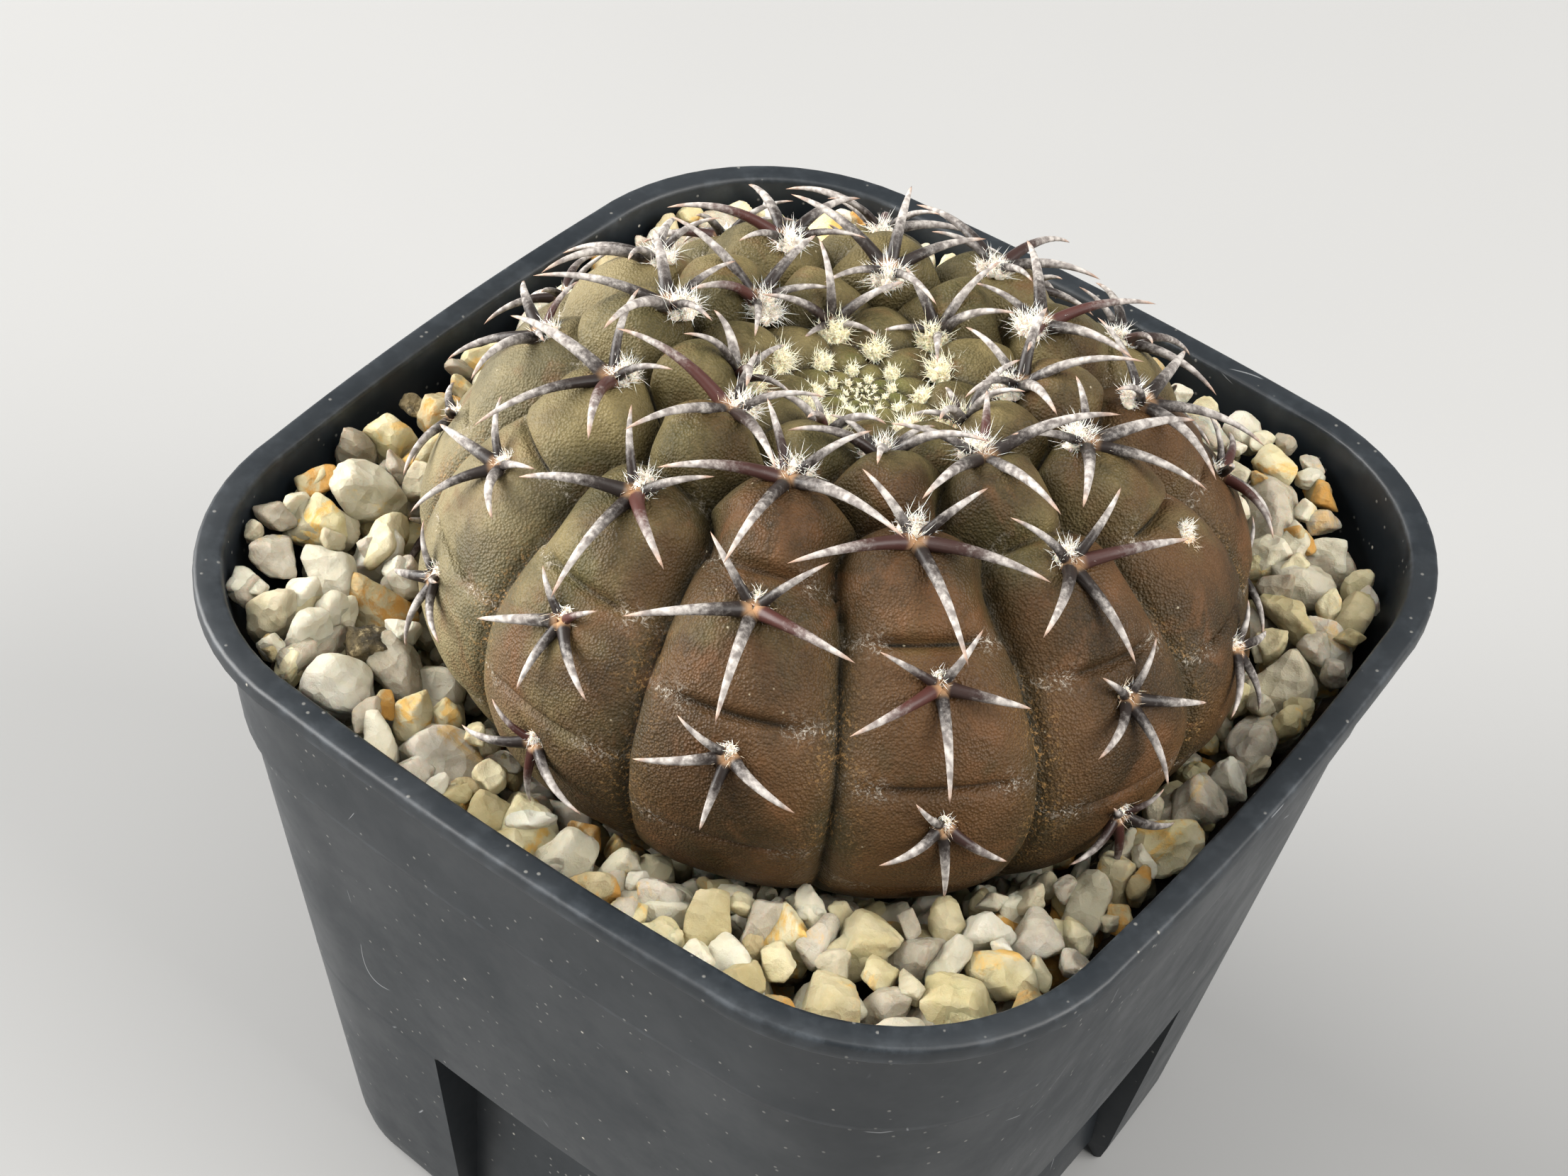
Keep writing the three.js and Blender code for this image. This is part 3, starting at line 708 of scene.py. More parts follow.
def make_pot(plastic):
    """The pot's wall as one closed skin, with the floor and feet inside it."""
    heap = Heap()
    rows = pot_wall_rows()
    count = len(rows[0][0])
    verts = np.concatenate([r for r, _ in rows])
    wear = np.concatenate([np.full(count, v) for _, v in rows])
    faces = grid_faces(len(rows), count)
    last = (len(rows) - 1) * count
    faces += [(last + c, last + (c + 1) % count, (c + 1) % count, c) for c in range(count)]
    heap.add(verts, faces, wear=wear)
    for v, f in floor_plate():
        heap.add(v, f, wear=0.0)
    pot = heap.piece("pot_shell", [plastic], "pot_plastic", ["pot"])
    pot.data.set_sharp_from_angle(angle=math.radians(50))
    return pot


# ---- stem ----

def stem_profile(alpha):
    """Distance from the axis and height of the rib crests, at an angle down from the crown."""
    upper = alpha <= math.pi / 2
    power = 2 / STEM_POWER
    sine, cosine = np.sin(alpha), np.cos(alpha)
    rho = np.where(upper, STEM_RADIUS * np.abs(sine) ** power, STEM_RADIUS * sine)
    dome = STEM_UPPER * np.abs(cosine) ** power - DIMPLE_DEPTH * np.exp(-(rho / DIMPLE_WIDTH) ** 2)
    return rho, np.where(upper, dome, STEM_LOWER * cosine)


ALPHA = np.linspace(0, math.pi, 4001)
CREST_RHO, CREST_Z = stem_profile(ALPHA)
CREST_ARC = np.concatenate([[0], np.cumsum(np.hypot(np.diff(CREST_RHO), np.diff(CREST_Z)))])
STEM_ARC = CREST_ARC[-1]
EQUATOR_ARC = float(np.interp(math.pi / 2, ALPHA, CREST_ARC))


def crest_at(arc):
    """Radius, height and outward direction of the crest line at a length from the crown."""
    rho = np.interp(arc, CREST_ARC, CREST_RHO)
    z = np.interp(arc, CREST_ARC, CREST_Z)
    step = 0.35
    r0, r1 = (np.interp(np.clip(arc + d, 0, STEM_ARC), CREST_ARC, CREST_RHO) for d in (-step, step))
    z0, z1 = (np.interp(np.clip(arc + d, 0, STEM_ARC), CREST_ARC, CREST_Z) for d in (-step, step))
    size = np.hypot(r1 - r0, z1 - z0)
    return rho, z, -(z1 - z0) / size, (r1 - r0) / size


def rib_angle(rib, arc, rho):
    """The ribs swing round a little as they near the crown."""
    twist = np.where(arc < EQUATOR_ARC, CROWN_TWIST * (1 - rho / STEM_RADIUS), 0.0)
    return FIRST_RIB + rib * RIB_STEP + twist


def areole_lean(rib):
    """The spiral sits lower on one side of the plant than on the other."""
    return AREOLE_LEAN * math.cos(2 * math.pi * (rib - 2.5) / RIBS)


def list_areoles(first=-44, last=90):
    """Number, rib and arc length from the crown of every areole, in the order they grew.

    They are evenly spaced down the ribs, but crowd together towards the growing point."""
    areoles = []
    for number in range(first, last):
        rib = (number * 5) % RIBS
        lean = areole_lean(rib)
        arc = AREOLE_START + number * AREOLE_PITCH / RIBS
        if number < 0:
            squeeze = math.exp(number * AREOLE_PITCH / RIBS / AREOLE_START)
            arc = AREOLE_START * squeeze
            lean *= squeeze
        areoles.append((number, rib, arc + lean))
    return areoles


def rib_level(number, rib):
    """Which place down its rib an areole has, counting from the crown."""
    even = AREOLE_START + number * AREOLE_PITCH / RIBS + areole_lean(rib)
    if not YOUNGEST_ARC < even < OLDEST_ARC:
        return 0
    return math.floor((even - YOUNGEST_ARC) / AREOLE_PITCH) + 1


AREOLES = list_areoles()
TUBERCLE_RIB = np.array([rib for _, rib, _ in AREOLES], float)
TUBERCLE_ARC = np.array([arc for _, _, arc in AREOLES])
TUBERCLE_MIDDLE = 0.22


def around(ribs):
    """Rib difference folded to the nearest way round."""
    return (ribs + RIBS / 2) % RIBS - RIBS / 2


def soft_lumps(x, y, z, scale, seed):
    """Slow, smooth unevenness from a few crossed waves, roughly from -1 to 1."""
    dice = np.random.default_rng(seed)
    total = 0
    for _ in range(7):
        k = dice.normal(size=3) / scale
        total = total + np.sin(k[0] * x + k[1] * y + k[2] * z + dice.uniform(0, 6.28))
    return total / 3.5


# How high the crest stands along one tubercle, as a part of its length from the areole.
CHIN_PLACE = [-0.30, -0.26, -0.20, -0.08, 0.0, 0.10, 0.30, 0.50, 0.62, 0.675, 0.70, 0.74]
CHIN_HEIGHT = [-0.62, -0.50, -0.38, -0.12, 0.02, 0.18, 0.42, 0.46, 0.34, 0.12, -0.2, -0.50]


SKIN_MASKS = ("furrow_shade", "crease_shade", "scar", "dirt")


def skin(rib_place, arc):
    """Height of the skin over the crest line and the masks its colours use."""
    rho, _, _, _ = crest_at(arc)
    flat_arc, flat_rib, flat_rho = arc.ravel(), rib_place.ravel(), np.maximum(rho.ravel(), 0.4)
    width = abs(RIB_STEP)
    fields = {k: np.zeros(flat_arc.size) for k in ("height", *SKIN_MASKS)}
    crowding = np.minimum(TUBERCLE_ARC / AREOLE_START, 1)
    crown_part = 1 - smoothstep(TUBERCLE_ARC, 8, 14)
    middle = TUBERCLE_ARC + (TUBERCLE_MIDDLE + 0.10 * crown_part) * AREOLE_PITCH * crowding
    for start in range(0, flat_arc.size, SKIN_BATCH):
        part = slice(start, start + SKIN_BATCH)
        a, r, p = flat_arc[part], flat_rib[part], flat_rho[part]
        # the nearest tubercle owns a point; old ribs part along straighter furrows
        narrow = 1 + 2.4 * smoothstep(a, 19, 32)
        wide = (width * p * narrow)[:, None]
        dx = around(r[:, None] - TUBERCLE_RIB[None]) * wide
        dy = a[:, None] - middle[None]
        near2 = dx ** 2 + dy ** 2
        own = np.argmin(near2, axis=1)
        pick = np.arange(len(a))
        gap_x = around(TUBERCLE_RIB[None] - TUBERCLE_RIB[own][:, None]) * wide
        gap_y = middle[None] - middle[own][:, None]
        apart = np.maximum(np.hypot(gap_x, gap_y), 1e-3)
        edge = (near2 - near2[pick, own][:, None]) / (2 * apart)
        same = np.abs(around(TUBERCLE_RIB[None] - TUBERCLE_RIB[own][:, None])) < 0.5
        itself = np.zeros_like(same)
        itself[pick, own] = True
        to_side = np.where(same, FAR_OFF, edge).min(axis=1) / narrow
        to_own_rib = np.where(same & ~itself, edge, FAR_OFF).min(axis=1)
        to_any = np.minimum(to_side, to_own_rib)
        half = np.maximum(width * p / 2, 1.6)
        own_x = dx[pick, own] / narrow
        across = np.clip(np.abs(own_x) / half, 0, 1.2)
        below = (a - TUBERCLE_ARC[own]) / AREOLE_PITCH

        # how far from a bud, how old, and how deep under the grit each point is
        grown = smoothstep(a, 8, 15)
        older = smoothstep(a, 22, 38)
        hidden = smoothstep(a, EQUATOR_ARC + 4, EQUATOR_ARC + 12)
        # the rib's rounding, the furrow beside it, and the tubercle's chin with the crease under it
        side_t = np.clip(to_side / half, 0, 1)
        chin_t = np.clip(to_own_rib / (0.5 * AREOLE_PITCH), 0, 1)
        rounding = -FURROW_DEPTH * (1 - 0.66 * older) * (1 - side_t) ** (2.9 + 0.5 * older)
        groove = -(0.55 + 0.15 * older) * np.exp(-to_side / 0.24)
        shoulder = -1.5 * (1 - smoothstep(a, 12, 26)) * (1 - chin_t) ** 2.4
        facet = -1.2 * (1 - older) * np.clip(across - 0.22, 0, 1) * np.clip(below + 0.1, 0, 0.6)
        middle_part = 1 - smoothstep(across, 0.5, 0.95)
        chin = np.interp(below, CHIN_PLACE, CHIN_HEIGHT) * middle_part * (1 - 0.5 * older)
        line = np.exp(-(to_own_rib / 0.24) ** 1.2) * (1 - smoothstep(across, 0.42, 0.66))
        line = line * (1 - 0.6 * smoothstep(a, 36, 46))
        ribbed = (rounding + groove + shoulder + facet + chin - CREASE_DEPTH * line) * (1 - hidden * 0.7)
        # the unopened buds of the crown, and the pit that each areole sits in
        bud_size = 0.39 * a + 0.1
        off_middle = np.sqrt(near2[pick, own]) / (1.12 * bud_size)
        buds = 1.35 * bud_size * (np.sqrt(np.clip(1 - off_middle ** 2, 0, 1)) - 1)
        off_areole = np.hypot(own_x, a - TUBERCLE_ARC[own])
        pit = -0.35 * np.exp(-(off_areole / 1.1) ** 2) * smoothstep(a, 5, 9)
        fields["height"][part] = lerp(buds, ribbed, grown) + pit
        # furrow mask: where painted shade darkens the skin beside the furrows
        fields["furrow_shade"][part] = np.exp(-lerp(to_any, to_side, grown) / (0.14 * half + 0.24))
        # crease mask: where painted shade draws a dark line in the crease
        fields["crease_shade"][part] = line * grown
        scar_run = np.exp(-(to_own_rib / 0.35) ** 1.3) * smoothstep(across, 0.38, 0.6)
        scar_patch = np.exp(-(to_own_rib / 0.9) ** 2) * np.exp(-((across - 0.62) / 0.16) ** 2)
        fields["scar"][part] = scar_run * smoothstep(a, 16, 26) + 0.6 * scar_patch * smoothstep(a, 12, 20)
        fields["dirt"][part] = np.exp(-to_side / 1.1) * smoothstep(a, 25, 36)
    return {k: v.reshape(arc.shape) for k, v in fields.items()}


def stem_points(rib_place, arc):
    """Points of the skin in the plant's frame, with the masks."""
    rho, z, out_r, out_z = crest_at(arc)
    masks = skin(rib_place, arc)
    angle = rib_angle(rib_place, arc, rho)
    x, y = rho * np.cos(angle), rho * np.sin(angle)
    swell = soft_lumps(x, y, z, 7.5, 11) * 0.25 + soft_lumps(x, y, z, 2.2, 12) * 0.05
    height = masks["height"] + swell * smoothstep(arc, 3, 12)
    r = np.maximum(rho + out_r * height, 0)
    points = np.stack([r * np.cos(angle), r * np.sin(angle), z + out_z * height], axis=-1)
    return points, masks


def make_stem(material):
    """The whole stem as one closed skin. Gives back its points, for the grit to lie against."""
    columns = RIBS * RIB_COLUMNS
    arcs = np.concatenate([np.linspace(0.15, VISIBLE_ARC, 205),
                           np.linspace(VISIBLE_ARC, STEM_ARC - 0.4, 20)[1:]])
    rib_place, arc = np.meshgrid(np.arange(columns) / RIB_COLUMNS, arcs)
    points, masks = stem_points(rib_place, arc)
    verts = points.reshape(-1, 3)
    top, bottom = len(verts), len(verts) + 1
    last = (len(arcs) - 1) * columns
    faces = [f[::-1] for f in grid_faces(len(arcs), columns)]
    faces += [(top, (c + 1) % columns, c) for c in range(columns)]
    faces += [(bottom, last + c, last + (c + 1) % columns) for c in range(columns)]
    values = {k: np.concatenate([masks[k].ravel(), [0, 0]]) for k in SKIN_MASKS}
    facing = np.concatenate([verts / np.array([30.0, 30.0, 22.0]), [[0, 0, 1], [0, 0, -1]]])
    # the red side faces away from the window: its brown is partly the skin's own red and partly painted
    # shade
    red_shaded_side = LEAN @ np.array([0.80, -0.35, -0.35])
    # the side facing the window gets a painted sheen, a pale tint
    window_side = LEAN @ np.array([-0.92, -0.25, -0.20])
    values["red_and_shaded"] = np.clip(facing @ red_shaded_side * 0.9 + 0.42, 0, 1)
    values["window_sheen"] = smoothstep(facing @ window_side, 0.25, 0.9)
    values["fresh"] = np.concatenate([(1 - smoothstep(arc, 1.0, 5.5)).ravel(), [1, 0]])
    closed = np.concatenate([verts, [points[0].mean(axis=0), points[-1].mean(axis=0)]])
    stem = mesh_piece("stem", from_plant(closed), faces, [material], values,
                      replaces=["cactus_body"])
    flip_if_inward(stem)
    return from_plant(verts)


def flip_if_inward(piece):
    """Turns the faces outward if the signed volume says that they point in."""
    shape = bmesh.new()
    shape.from_mesh(piece.data)
    if shape.calc_volume(signed=True) < 0:
        bmesh.ops.reverse_faces(shape, faces=shape.faces)
        shape.to_mesh(piece.data)
    shape.free()


# ---- spines and felt ----

def areole_frame(rib, arc):
    """Place on the skin, and the outward, downhill and sideways directions."""
    point, _ = stem_points(np.array([[float(rib)]]), np.array([[arc]]))
    rho, _, out_r, out_z = crest_at(np.array(arc))
    angle = float(rib_angle(float(rib), np.array(arc), rho))
    out = np.array([out_r * math.cos(angle), out_r * math.sin(angle), out_z], float)
    side = np.array([-math.sin(angle), math.cos(angle), 0.0])
    return point[0, 0], out, -np.cross(out, side), side


def tube_shape(path, radii, sides, squash=1.0, up=(0.3, 0.5, 0.8)):
    """A closed tapering tube along a path, ending in a point."""
    path = np.asarray(path, float)
    tangent = np.gradient(path, axis=0)
    tangent /= np.linalg.norm(tangent, axis=1, keepdims=True)
    across = np.cross(tangent, up)
    across /= np.linalg.norm(across, axis=1, keepdims=True) + 1e-9
    upward = np.cross(across, tangent)
    turn = np.linspace(0, 2 * math.pi, sides, endpoint=False)
    rings = path[:-1, None] + radii[:-1, None, None] * (
        np.cos(turn)[None, :, None] * across[:-1, None]
        + squash * np.sin(turn)[None, :, None] * upward[:-1, None])
    verts = np.concatenate([rings.reshape(-1, 3), path[-1:], path[:1]])
    rows = len(path) - 1
    faces = [f[::-1] for f in grid_faces(rows, sides)]
    tip, root, last = rows * sides, rows * sides + 1, (rows - 1) * sides
    for c in range(sides):
        d = (c + 1) % sides
        faces.append((last + c, tip, last + d))
        faces.append((root, c, d))
    along = np.concatenate([np.repeat(np.linspace(0, 1, len(path))[:-1], sides), [1, 0]])
    return verts, faces, along


def spine_growth(arc):
    """Part of its full length that a spine has: young ones are short, and so are the lowest."""
    young = 0.55 + 0.45 * float(smoothstep(arc, 5, 14))
    return young * (1 - 0.40 * float(smoothstep(arc, 19, 36)))


def spine_path(place, out, down, side, turn, length, rise):
    """An awl that leaves the felt steeply and curves back towards the skin."""
    along = down * math.cos(turn) + side * math.sin(turn)
    t = np.linspace(0, 1, SPINE_STEPS)
    lift = rise * (1 - t) - CLAW * t
    pace = length / (SPINE_STEPS - 1)
    run = np.concatenate([[0], np.cumsum(np.cos(lift[:-1]) * pace)])
    climb = np.concatenate([[0], np.cumsum(np.sin(lift[:-1]) * pace)])
    root = place + out * 0.15 + along * 0.35
    return root + run[:, None] * along + climb[:, None] * out


def add_spines(heap, number, arc, place, out, down, side):
    """The spines of one areole. Some of the oldest areoles have lost an upper one."""
    for n, (turn, length, thick) in enumerate(SPINE_PLAN):
        if n >= 3 and arc > 34 and scatter(number, n + 40) < 0.3:
            continue
        swing = math.radians(turn + 26 * (scatter(number, n) - 0.5))
        size = length * spine_growth(arc) * (0.84 + 0.30 * scatter(number, n + 10))
        rise = math.radians(26 + 20 * scatter(number, n + 20) + 22 * (1 - float(smoothstep(arc, 7, 14))))
        path = spine_path(place, out, down, side, swing, size, rise)
        t = np.linspace(0, 1, len(path))
        radii = thick * (0.6 + 0.4 * spine_growth(arc)) * np.clip(1 - t, 0, 1) ** 0.62
        radii = radii * (1 + 0.18 * np.exp(-(t / 0.09) ** 2))
        verts, faces, along = tube_shape(path, radii, SPINE_SIDES, 0.85, up=out)
        heap.add(verts, faces, 0, along=along, tone=scatter(number, n + 30))


def add_cushion(heap, seed, place, out, down, side, radius, high, part):
    """The low felt mound that the hairs stand on."""
    rings, sides = 5, 12
    dice = np.random.default_rng(2000 + seed)
    phi, turn = np.meshgrid(np.linspace(0, math.pi / 2, rings, endpoint=False),
                            np.linspace(0, 2 * math.pi, sides, endpoint=False), indexing="ij")
    lump = (1 + 0.16 * dice.normal(size=phi.shape))[..., None]
    verts = (place + out * (np.sin(phi)[..., None] * high * lump - 0.3)
             + side * (np.cos(turn) * np.cos(phi))[..., None] * radius * lump
             + down * (np.sin(turn) * np.cos(phi))[..., None] * radius * lump).reshape(-1, 3)
    verts = np.concatenate([verts, [place + out * (high - 0.3), place - out * 0.6]])
    faces = [f[::-1] for f in grid_faces(rings, sides)]
    last, tip = (rings - 1) * sides, rings * sides
    for c in range(sides):
        d = (c + 1) % sides
        faces.append((last + c, tip, last + d))
        faces.append((tip + 1, c, d))
    heap.add(verts, faces, part, along=0.55, tone=0.5)


def add_fluff(heap, seed, place, out, down, side, radius, high, hairs, part=1):
    """A woolly tuft: six soft clumps round a seventh, bristling with short curly hairs."""
    dice = np.random.default_rng(1000 + seed)
    clumps = []
    for n in range(7):
        angle = 2 * math.pi * (n / 6 + 0.1 * dice.uniform())
        far = 0.0 if n == 6 else radius * dice.uniform(0.5, 0.75)
        size = radius * (0.62 if n == 6 else dice.uniform(0.36, 0.5))
        foot = place + side * math.cos(angle) * far + down * math.sin(angle) * far
        rise = high * (1.0 if n == 6 else dice.uniform(0.5, 0.85))
        clumps.append((foot, size, rise))
        add_cushion(heap, 50 * seed + n, foot, out, down, side, size, rise, part)
    for _ in range(hairs):
        foot, size, rise = clumps[int(dice.integers(7))]
        aim = dice.normal(size=3)
        aim += out * (0.25 - min(aim @ out, 0.0) * 1.5)
        aim /= np.linalg.norm(aim)
        root = foot + aim * size * 0.75 + out * (aim @ out) * (rise - size * 0.75) - out * 0.3
        bend = dice.normal(size=3) * 0.7
        length = radius * dice.uniform(0.35, 0.75)
        t = np.linspace(0, 1, 4)[:, None]
        path = root + aim * length * t + bend * length * t ** 2
        verts, faces, along = tube_shape(path, HAIR_RADIUS * (1 - 0.45 * t[:, 0]), 3)
        heap.add(verts, faces, part, along=0.6 + 0.4 * along, tone=0.5)


def make_spine_clusters(horn, felt, wool, old_felt):
    """One piece for each areole: brown old felt, a pale young tuft above it, and the spines."""
    nodes = set(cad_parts)
    for number, rib, arc in AREOLES:
        level = rib_level(number, rib)
        node = f"spine_cluster_{rib + 1}_{level}"
        if node not in nodes:
            continue
        place, out, down, side = areole_frame(rib, arc)
        heap = Heap()
        fresh = 1 - float(smoothstep(arc, 9, 34))
        wide = 0.72 + 0.38 * fresh
        brown = wide * 0.85 + 0.25 * (1 - fresh)
        pale = wide * (1.05 if arc < OLD_FELT_FROM else 0.75)
        add_fluff(heap, 700 + number, place, out, down, side, brown, 0.68, 70, part=2)
        tuft = place - down * (0.45 + 0.35 * fresh)
        add_fluff(heap, number, tuft, out, down, side, pale, 0.75 + 0.5 * fresh, int(200 + 360 * fresh))
        if number != BARE_AREOLE:
            add_spines(heap, number, arc, place, out, down, side)
        heap.verts = [from_plant(v) for v in heap.verts]
        cover = wool if arc < WOOLLY_TO else felt
        heap.piece(f"areole_{rib + 1}_{level}", [horn, cover, old_felt], "spines", [node])


def make_crown_wool(wool):
    """Wool on the unopened areoles in the dimple, with tiny green tubercles showing between."""
    heap = Heap()
    for number, rib, arc in AREOLES:
        if number < 0 and rib_level(number, rib) == 0:
            place, out, down, side = areole_frame(rib, arc)
            size = 0.07 + 0.155 * arc
            add_fluff(heap, 300 + number, place, out, down, side, size, 0.25 + size * 0.8,
                      int(30 + 90 * arc), part=0)
    heap.verts = [from_plant(v) for v in heap.verts]
    heap.piece("crown_tuft", [wool], "wool", ["crown_wool"])


# ---- grit ----

def ball(divisions):
    """Points spread evenly over a unit ball, and the triangles between them."""
    shape = bmesh.new()
    bmesh.ops.create_icosphere(shape, subdivisions=divisions, radius=1.0)
    verts = np.array([v.co[:] for v in shape.verts])
    faces = [tuple(v.index for v in f.verts) for f in shape.faces]
    shape.free()
    return verts, faces


def stone_template(seed, rough, points):
    """A broken stone of about unit radius: flat chipped sides meeting in worn edges."""
    dice = np.random.default_rng(seed)
    count = int(dice.integers(9, 15))
    sides = dice.normal(size=(count, 3))
    sides /= np.linalg.norm(sides, axis=1, keepdims=True)
    sides = np.concatenate([sides, -sides[:3]])
    depth = dice.uniform(0.62, 1.0, size=len(sides))
    facing = np.clip(points @ sides.T, 1e-3, None) / depth
    radius = (facing ** 16).sum(axis=1) ** (-1 / 16)
    radius = np.minimum(radius, 1.25)
    dents = rough * soft_lumps(*points.T, 0.42, seed + 50)
    chips = 0.45 * rough * soft_lumps(*points.T, 0.15, seed + 90)
    radius *= 1 + dents + chips
    radius *= 1 + 0.25 * rough * soft_lumps(*points.T, 0.07, seed + 130)
    stretch = np.array([1.12, dice.uniform(0.72, 1.0), dice.uniform(0.6, 0.9)])
    return points * radius[:, None] * stretch


def inside_pot(x, y, margin, half=35.0, corner=16.5):
    """Whether a point is at least a margin inside the wall, for a given half width."""
    flat = half - corner
    return np.hypot(max(abs(x) - flat, 0), max(abs(y) - flat, 0)) < corner - margin


def random_turn(dice):
    """A turn matrix, even over all directions."""
    q = dice.normal(size=4)
    q /= np.linalg.norm(q)
    a, b, c, d = q
    return np.array([[1 - 2 * (c * c + d * d), 2 * (b * c - a * d), 2 * (b * d + a * c)],
                     [2 * (b * c + a * d), 1 - 2 * (b * b + d * d), 2 * (c * d - a * b)],
                     [2 * (b * d - a * c), 2 * (c * d + a * b), 1 - 2 * (b * b + c * c)]])


def grit_level(x, y):
    """The bed is heaped against two sides and sinks in the corner between them."""
    heaped = max(float(smoothstep(-x, 4, 32)), float(smoothstep(y, 4, 32)))
    hollow = math.exp(-((x - 33) ** 2 + (y - 33) ** 2) / 45)
    return RIM - 4.8 + 3.7 * heaped - 8.0 * hollow


def stem_underside(stem_verts, span):
    """Height of the stem's underside over each cell of the bed, and a long way up beside it."""
    under = np.full((span, span), FAR_OFF)
    low = stem_verts[stem_verts[:, 2] < STEM_CENTRE[2] + 3]
    i, j = (((low[:, k] + GRIT_SPAN / 2) / GRIT_CELL).astype(int) for k in (0, 1))
    np.minimum.at(under, (i, j), low[:, 2])
    padded = np.pad(under, 1, constant_values=FAR_OFF)
    views = [padded[a:a + span, b:b + span] for a in range(3) for b in range(3)]
    return np.minimum.reduce(views)


def lay_stones(templates, stem_verts):
    """Drops stones one by one onto the lowest of a few random places until the bed is full."""
    dice = np.random.default_rng(SEED)
    span = int(GRIT_SPAN / GRIT_CELL)
    ground = np.full((span, span), SOIL_TOP + 0.4)
    under = stem_underside(stem_verts, span)
    axis = (np.arange(span) + 0.5) * GRIT_CELL - GRIT_SPAN / 2
    laid = []
    misses = 0
    while misses < GRIT_PATIENCE and len(laid) < MOST_STONES:
        template = int(dice.integers(len(templates)))
        size = float(np.clip(dice.lognormal(math.log(STONE_RADIUS), 0.24), 1.5, 3.6))
        if misses > GRIT_PATIENCE // 3:
            size *= 0.7
        turn = random_turn(dice) * size
        verts = templates[template] @ turn.T
        reach = np.abs(verts).max(axis=0)
        best = None
        for _ in range(GRIT_CHOICES):
            x, y = dice.uniform(-36, 36, size=2)
            if not inside_pot(x, y, max(reach[0], reach[1]) * 0.80):
                continue
            if math.hypot(x - STEM_CENTRE[0], y - STEM_CENTRE[1]) < BARE_RADIUS:
                continue
            i0, i1 = (int((x + s * reach[0] + GRIT_SPAN / 2) / GRIT_CELL) for s in (-1, 1))
            j0, j1 = (int((y + s * reach[1] + GRIT_SPAN / 2) / GRIT_CELL) for s in (-1, 1))
            gx, gy = np.meshgrid(axis[i0:i1 + 1] - x, axis[j0:j1 + 1] - y, indexing="ij")
            q = (gx / reach[0]) ** 2 + (gy / reach[1]) ** 2
            cap = np.where(q < 1, np.sqrt(np.clip(1 - q, 0, 1)), np.nan) * reach[2]
            z = np.nanmax(ground[i0:i1 + 1, j0:j1 + 1] - cap * 0.92)
            if np.nanmin(under[i0:i1 + 1, j0:j1 + 1] - cap * 0.9) < z:
                continue
            if z + 0.55 * reach[2] > grit_level(x, y):
                continue
            if not inside_pot(x, y, 0.9 * max(reach[0], reach[1]), 33.3 + 0.16 * (z - 51), 15.3):
                continue
            if best is None or z < best[2]:
                best = (x, y, z, i0, i1, j0, j1, cap)
        if best is None:
            misses += 1
            continue
        x, y, z, i0, i1, j0, j1, cap = best
        top = np.where(np.isnan(cap), -FAR_OFF, z + cap * 0.86)
        ground[i0:i1 + 1, j0:j1 + 1] = np.maximum(ground[i0:i1 + 1, j0:j1 + 1], top)
        seen = z + reach[2] > grit_level(x, y) - BURIED
        laid.append((template, turn, np.array([x, y, z]), float(dice.uniform()), seen))
        misses = 0
    return laid


def make_gravel(kinds, stem_verts):
    """The whole bed, one piece for each kind. kinds: name, material and share of the stones."""
    coarse, coarse_faces = ball(3)
    fine, fine_faces = ball(4)
    stones = [[stone_template(n, 0.065 if n < PLAIN_SHAPES else 0.14, points)
               for n in range(STONE_SHAPES)] for points in (coarse, fine)]
    laid = lay_stones(stones[0][:PLAIN_SHAPES], stem_verts)
    dice = np.random.default_rng(SEED + 1)
    heaps = [Heap() for _ in kinds]
    shares = np.cumsum([share for _, _, share in kinds])
    for template, turn, place, tone, seen in laid:
        kind = int(np.searchsorted(shares, dice.uniform() * shares[-1]))
        if kind == len(kinds) - 1:
            template = PLAIN_SHAPES + template % (STONE_SHAPES - PLAIN_SHAPES)
        verts = stones[int(seen)][template] @ turn.T + place
        heaps[kind].add(verts, fine_faces if seen else coarse_faces, tone=tone)
    for n, (heap, (name, material, _)) in enumerate(zip(heaps, kinds)):
        heap.piece(name, [material], "grit", ["gravel_bed"] if n == 0 else ())


# ---- studio: lights are place, aim, size, power and colour, in metres and watts ----

CAMERA_PLACE = Vector((81.3, -128.7, RIM + 144.3)) * MM
CAMERA_FORWARD = Vector((-0.39239, 0.59577, -0.70078))
CAMERA_RIGHT = Vector((0.79207, 0.60619, 0.07184))
LENS = 66.8
FILM_WIDTH = 36
FLOOR_REACH = 4.0
SOFTBOXES = {
    "window": ((-1.10, -0.55, 0.62), (0, 0, 0.06), (1.3, 1.1), 64.0, (1.0, 0.985, 0.96)),
    "high front": ((0.15, 0.05, 1.10), (0, 0, 0.05), (0.8, 0.8), 5.0, (1.0, 0.99, 0.97)),
    "right fill": ((1.0, 0.25, 0.8), (0, 0, 0.05), (1.0, 0.9), 25.0, (1.0, 0.98, 0.95)),
    "low fill": ((-0.35, -0.75, 0.16), (0, 0, 0.03), (0.7, 0.25), 1.3, (1.0, 0.98, 0.95)),
}


def set_camera():
    """Above and to the right of the pot's front, rolled a little."""
    data = bpy.data.cameras.new("camera")
    data.lens = LENS
    data.sensor_width = FILM_WIDTH
    data.clip_start = 0.01
    data.clip_end = 50
    camera = bpy.data.objects.new("camera", data)
    scene.collection.objects.link(camera)
    up = CAMERA_RIGHT.cross(CAMERA_FORWARD)
    turn = Matrix((CAMERA_RIGHT, up, -CAMERA_FORWARD)).transposed().to_4x4()
    camera.matrix_world = Matrix.Translation(CAMERA_PLACE) @ turn
    scene.camera = camera


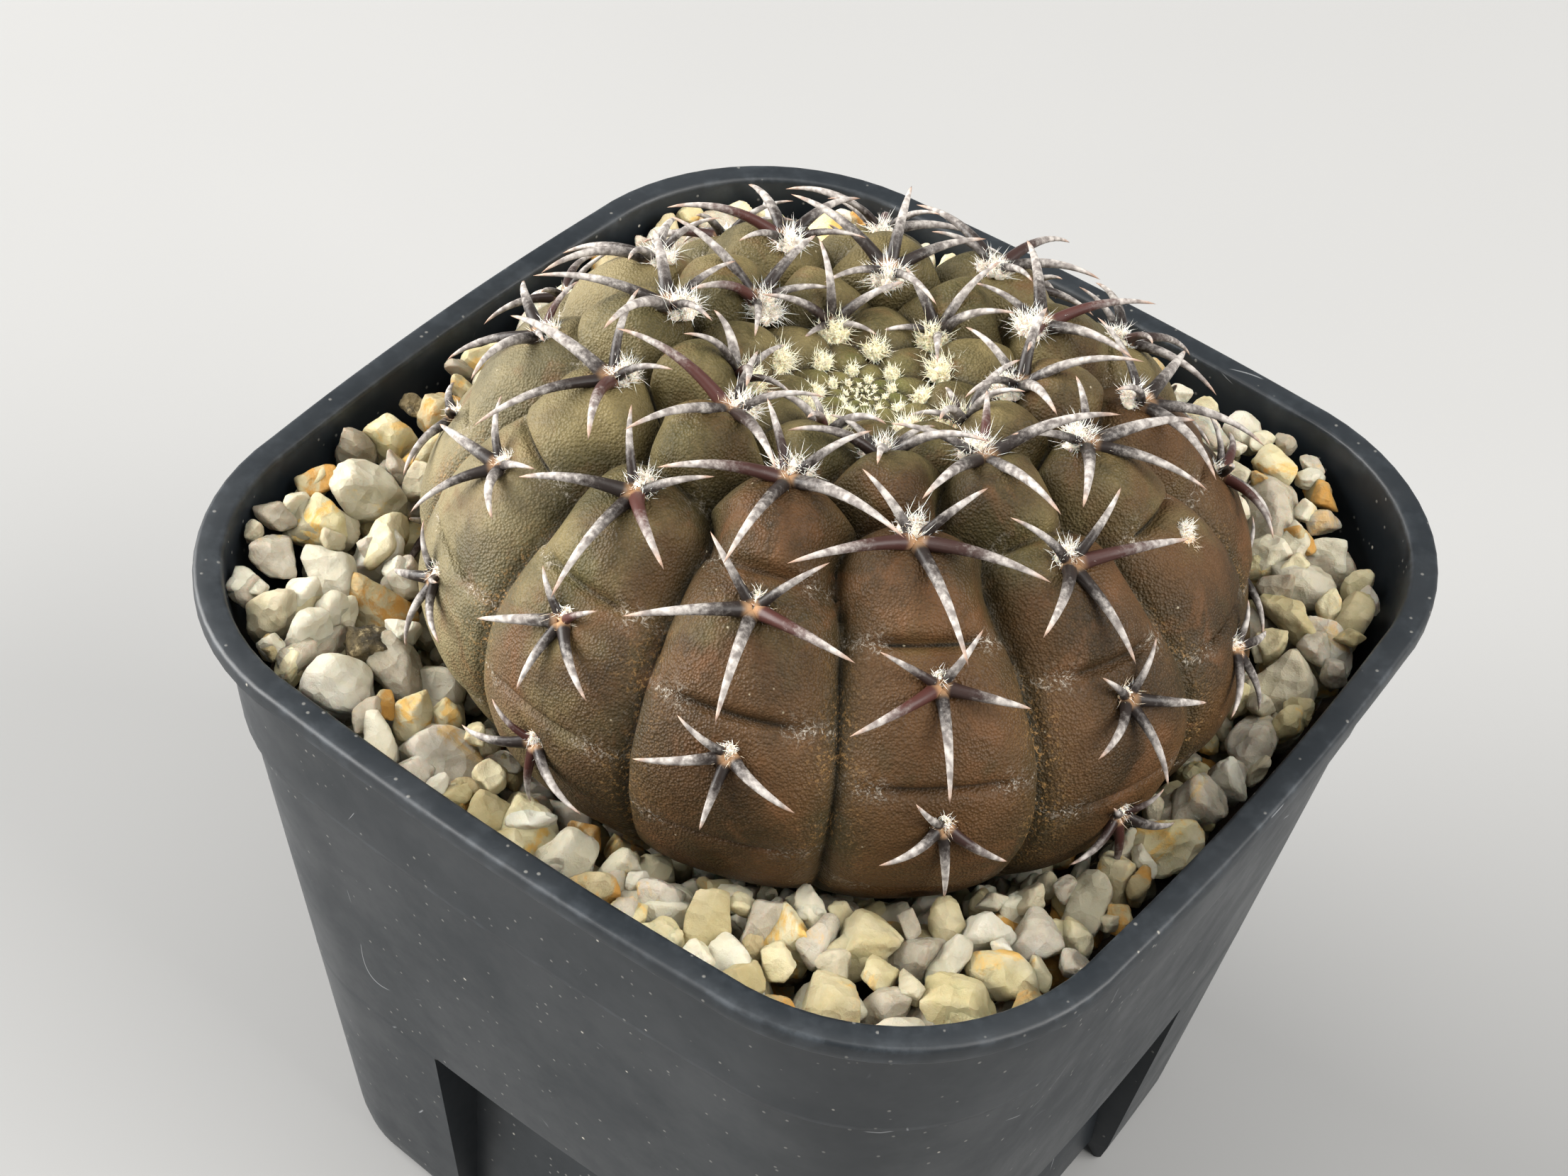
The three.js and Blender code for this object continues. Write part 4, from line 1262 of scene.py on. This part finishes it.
def add_softbox(name, place, aim, size, power, colour):
    data = bpy.data.lights.new(name, "AREA")
    data.shape = "RECTANGLE"
    data.size, data.size_y = size
    data.energy = power
    data.color = colour
    lamp = bpy.data.objects.new(name, data)
    lamp.location = place
    direction = Vector(aim) - Vector(place)
    lamp.rotation_euler = direction.to_track_quat("-Z", "Y").to_euler()
    scene.collection.objects.link(lamp)


def set_studio():
    """A pale floor in soft window light from the left, with weaker fills."""
    world = bpy.data.worlds.new("soft room")
    world.use_nodes = True
    background = world.node_tree.nodes["Background"]
    background.inputs["Color"].default_value = rgb(0.97, 0.985, 1.0)
    background.inputs["Strength"].default_value = 0.45
    scene.world = world
    for name, settings in SOFTBOXES.items():
        add_softbox(name, *settings)
    scene.view_settings.view_transform = "Standard"

    w = Finish("pale floor", Roughness=0.85)
    tint = w.mix(w.noise(9, 3), rgb(0.268, 0.268, 0.265), rgb(0.292, 0.291, 0.288))
    mesh = bpy.data.meshes.new("floor")
    reach = FLOOR_REACH
    mesh.from_pydata([(-reach, -reach, 0), (reach, -reach, 0), (reach, reach, 0), (-reach, reach, 0)],
                     [], [(0, 1, 2, 3)])
    mesh.materials.append(w.done(tint))
    floor = bpy.data.objects.new("floor", mesh)
    scene.collection.objects.link(floor)


# ---- putting it together ----

set_camera()
set_studio()

make_pot(make_pot_plastic())
stem_verts = make_stem(make_stem_skin())
felt = make_felt("areole felt", rgb(0.93, 0.89, 0.80), rgb(0.74, 0.52, 0.34))
wool = make_felt("crown wool", rgb(0.95, 0.88, 0.66), rgb(0.80, 0.64, 0.32))
old_felt = make_felt("tan felt", rgb(0.80, 0.62, 0.44), rgb(0.52, 0.27, 0.12))
make_spine_clusters(make_spine_horn(), felt, wool, old_felt)
make_crown_wool(wool)
make_gravel([
    ("milky_quartz_grit", make_grit("milky quartz", rgb(0.76, 0.72, 0.54), rgb(0.92, 0.89, 0.76),
                                    rgb(0.74, 0.54, 0.20), 0.69, 0.42, 0.15), 0.23),
    ("white_quartz_grit", make_grit("white quartz", rgb(0.80, 0.79, 0.66), rgb(0.94, 0.93, 0.86),
                                    rgb(0.74, 0.60, 0.34), 0.74, 0.38, 0.15), 0.19),
    ("cream_quartz_grit", make_grit("cream quartz", rgb(0.72, 0.64, 0.36), rgb(0.89, 0.83, 0.60),
                                    rgb(0.68, 0.42, 0.11), 0.63, 0.48, 0.12), 0.27),
    ("clear_quartz_grit", make_grit("grey clear quartz", rgb(0.48, 0.44, 0.36), rgb(0.76, 0.72, 0.64),
                                    rgb(0.58, 0.40, 0.18), 0.66, 0.3, 0.25), 0.17),
    ("stained_quartz_grit", make_grit("iron stained quartz", rgb(0.52, 0.42, 0.2), rgb(0.84, 0.74, 0.48),
                                      rgb(0.56, 0.29, 0.06), 0.52, 0.6, 0.08, 0.6), 0.09),
    ("lava_crumbs", make_lava(), 0.05),
], stem_verts)

for node, material in (("potting_soil", make_soil()), ("taproot", make_root_bark())):
    kept = bpy.data.objects[node]
    kept.data.materials.clear()
    kept.data.materials.append(material)
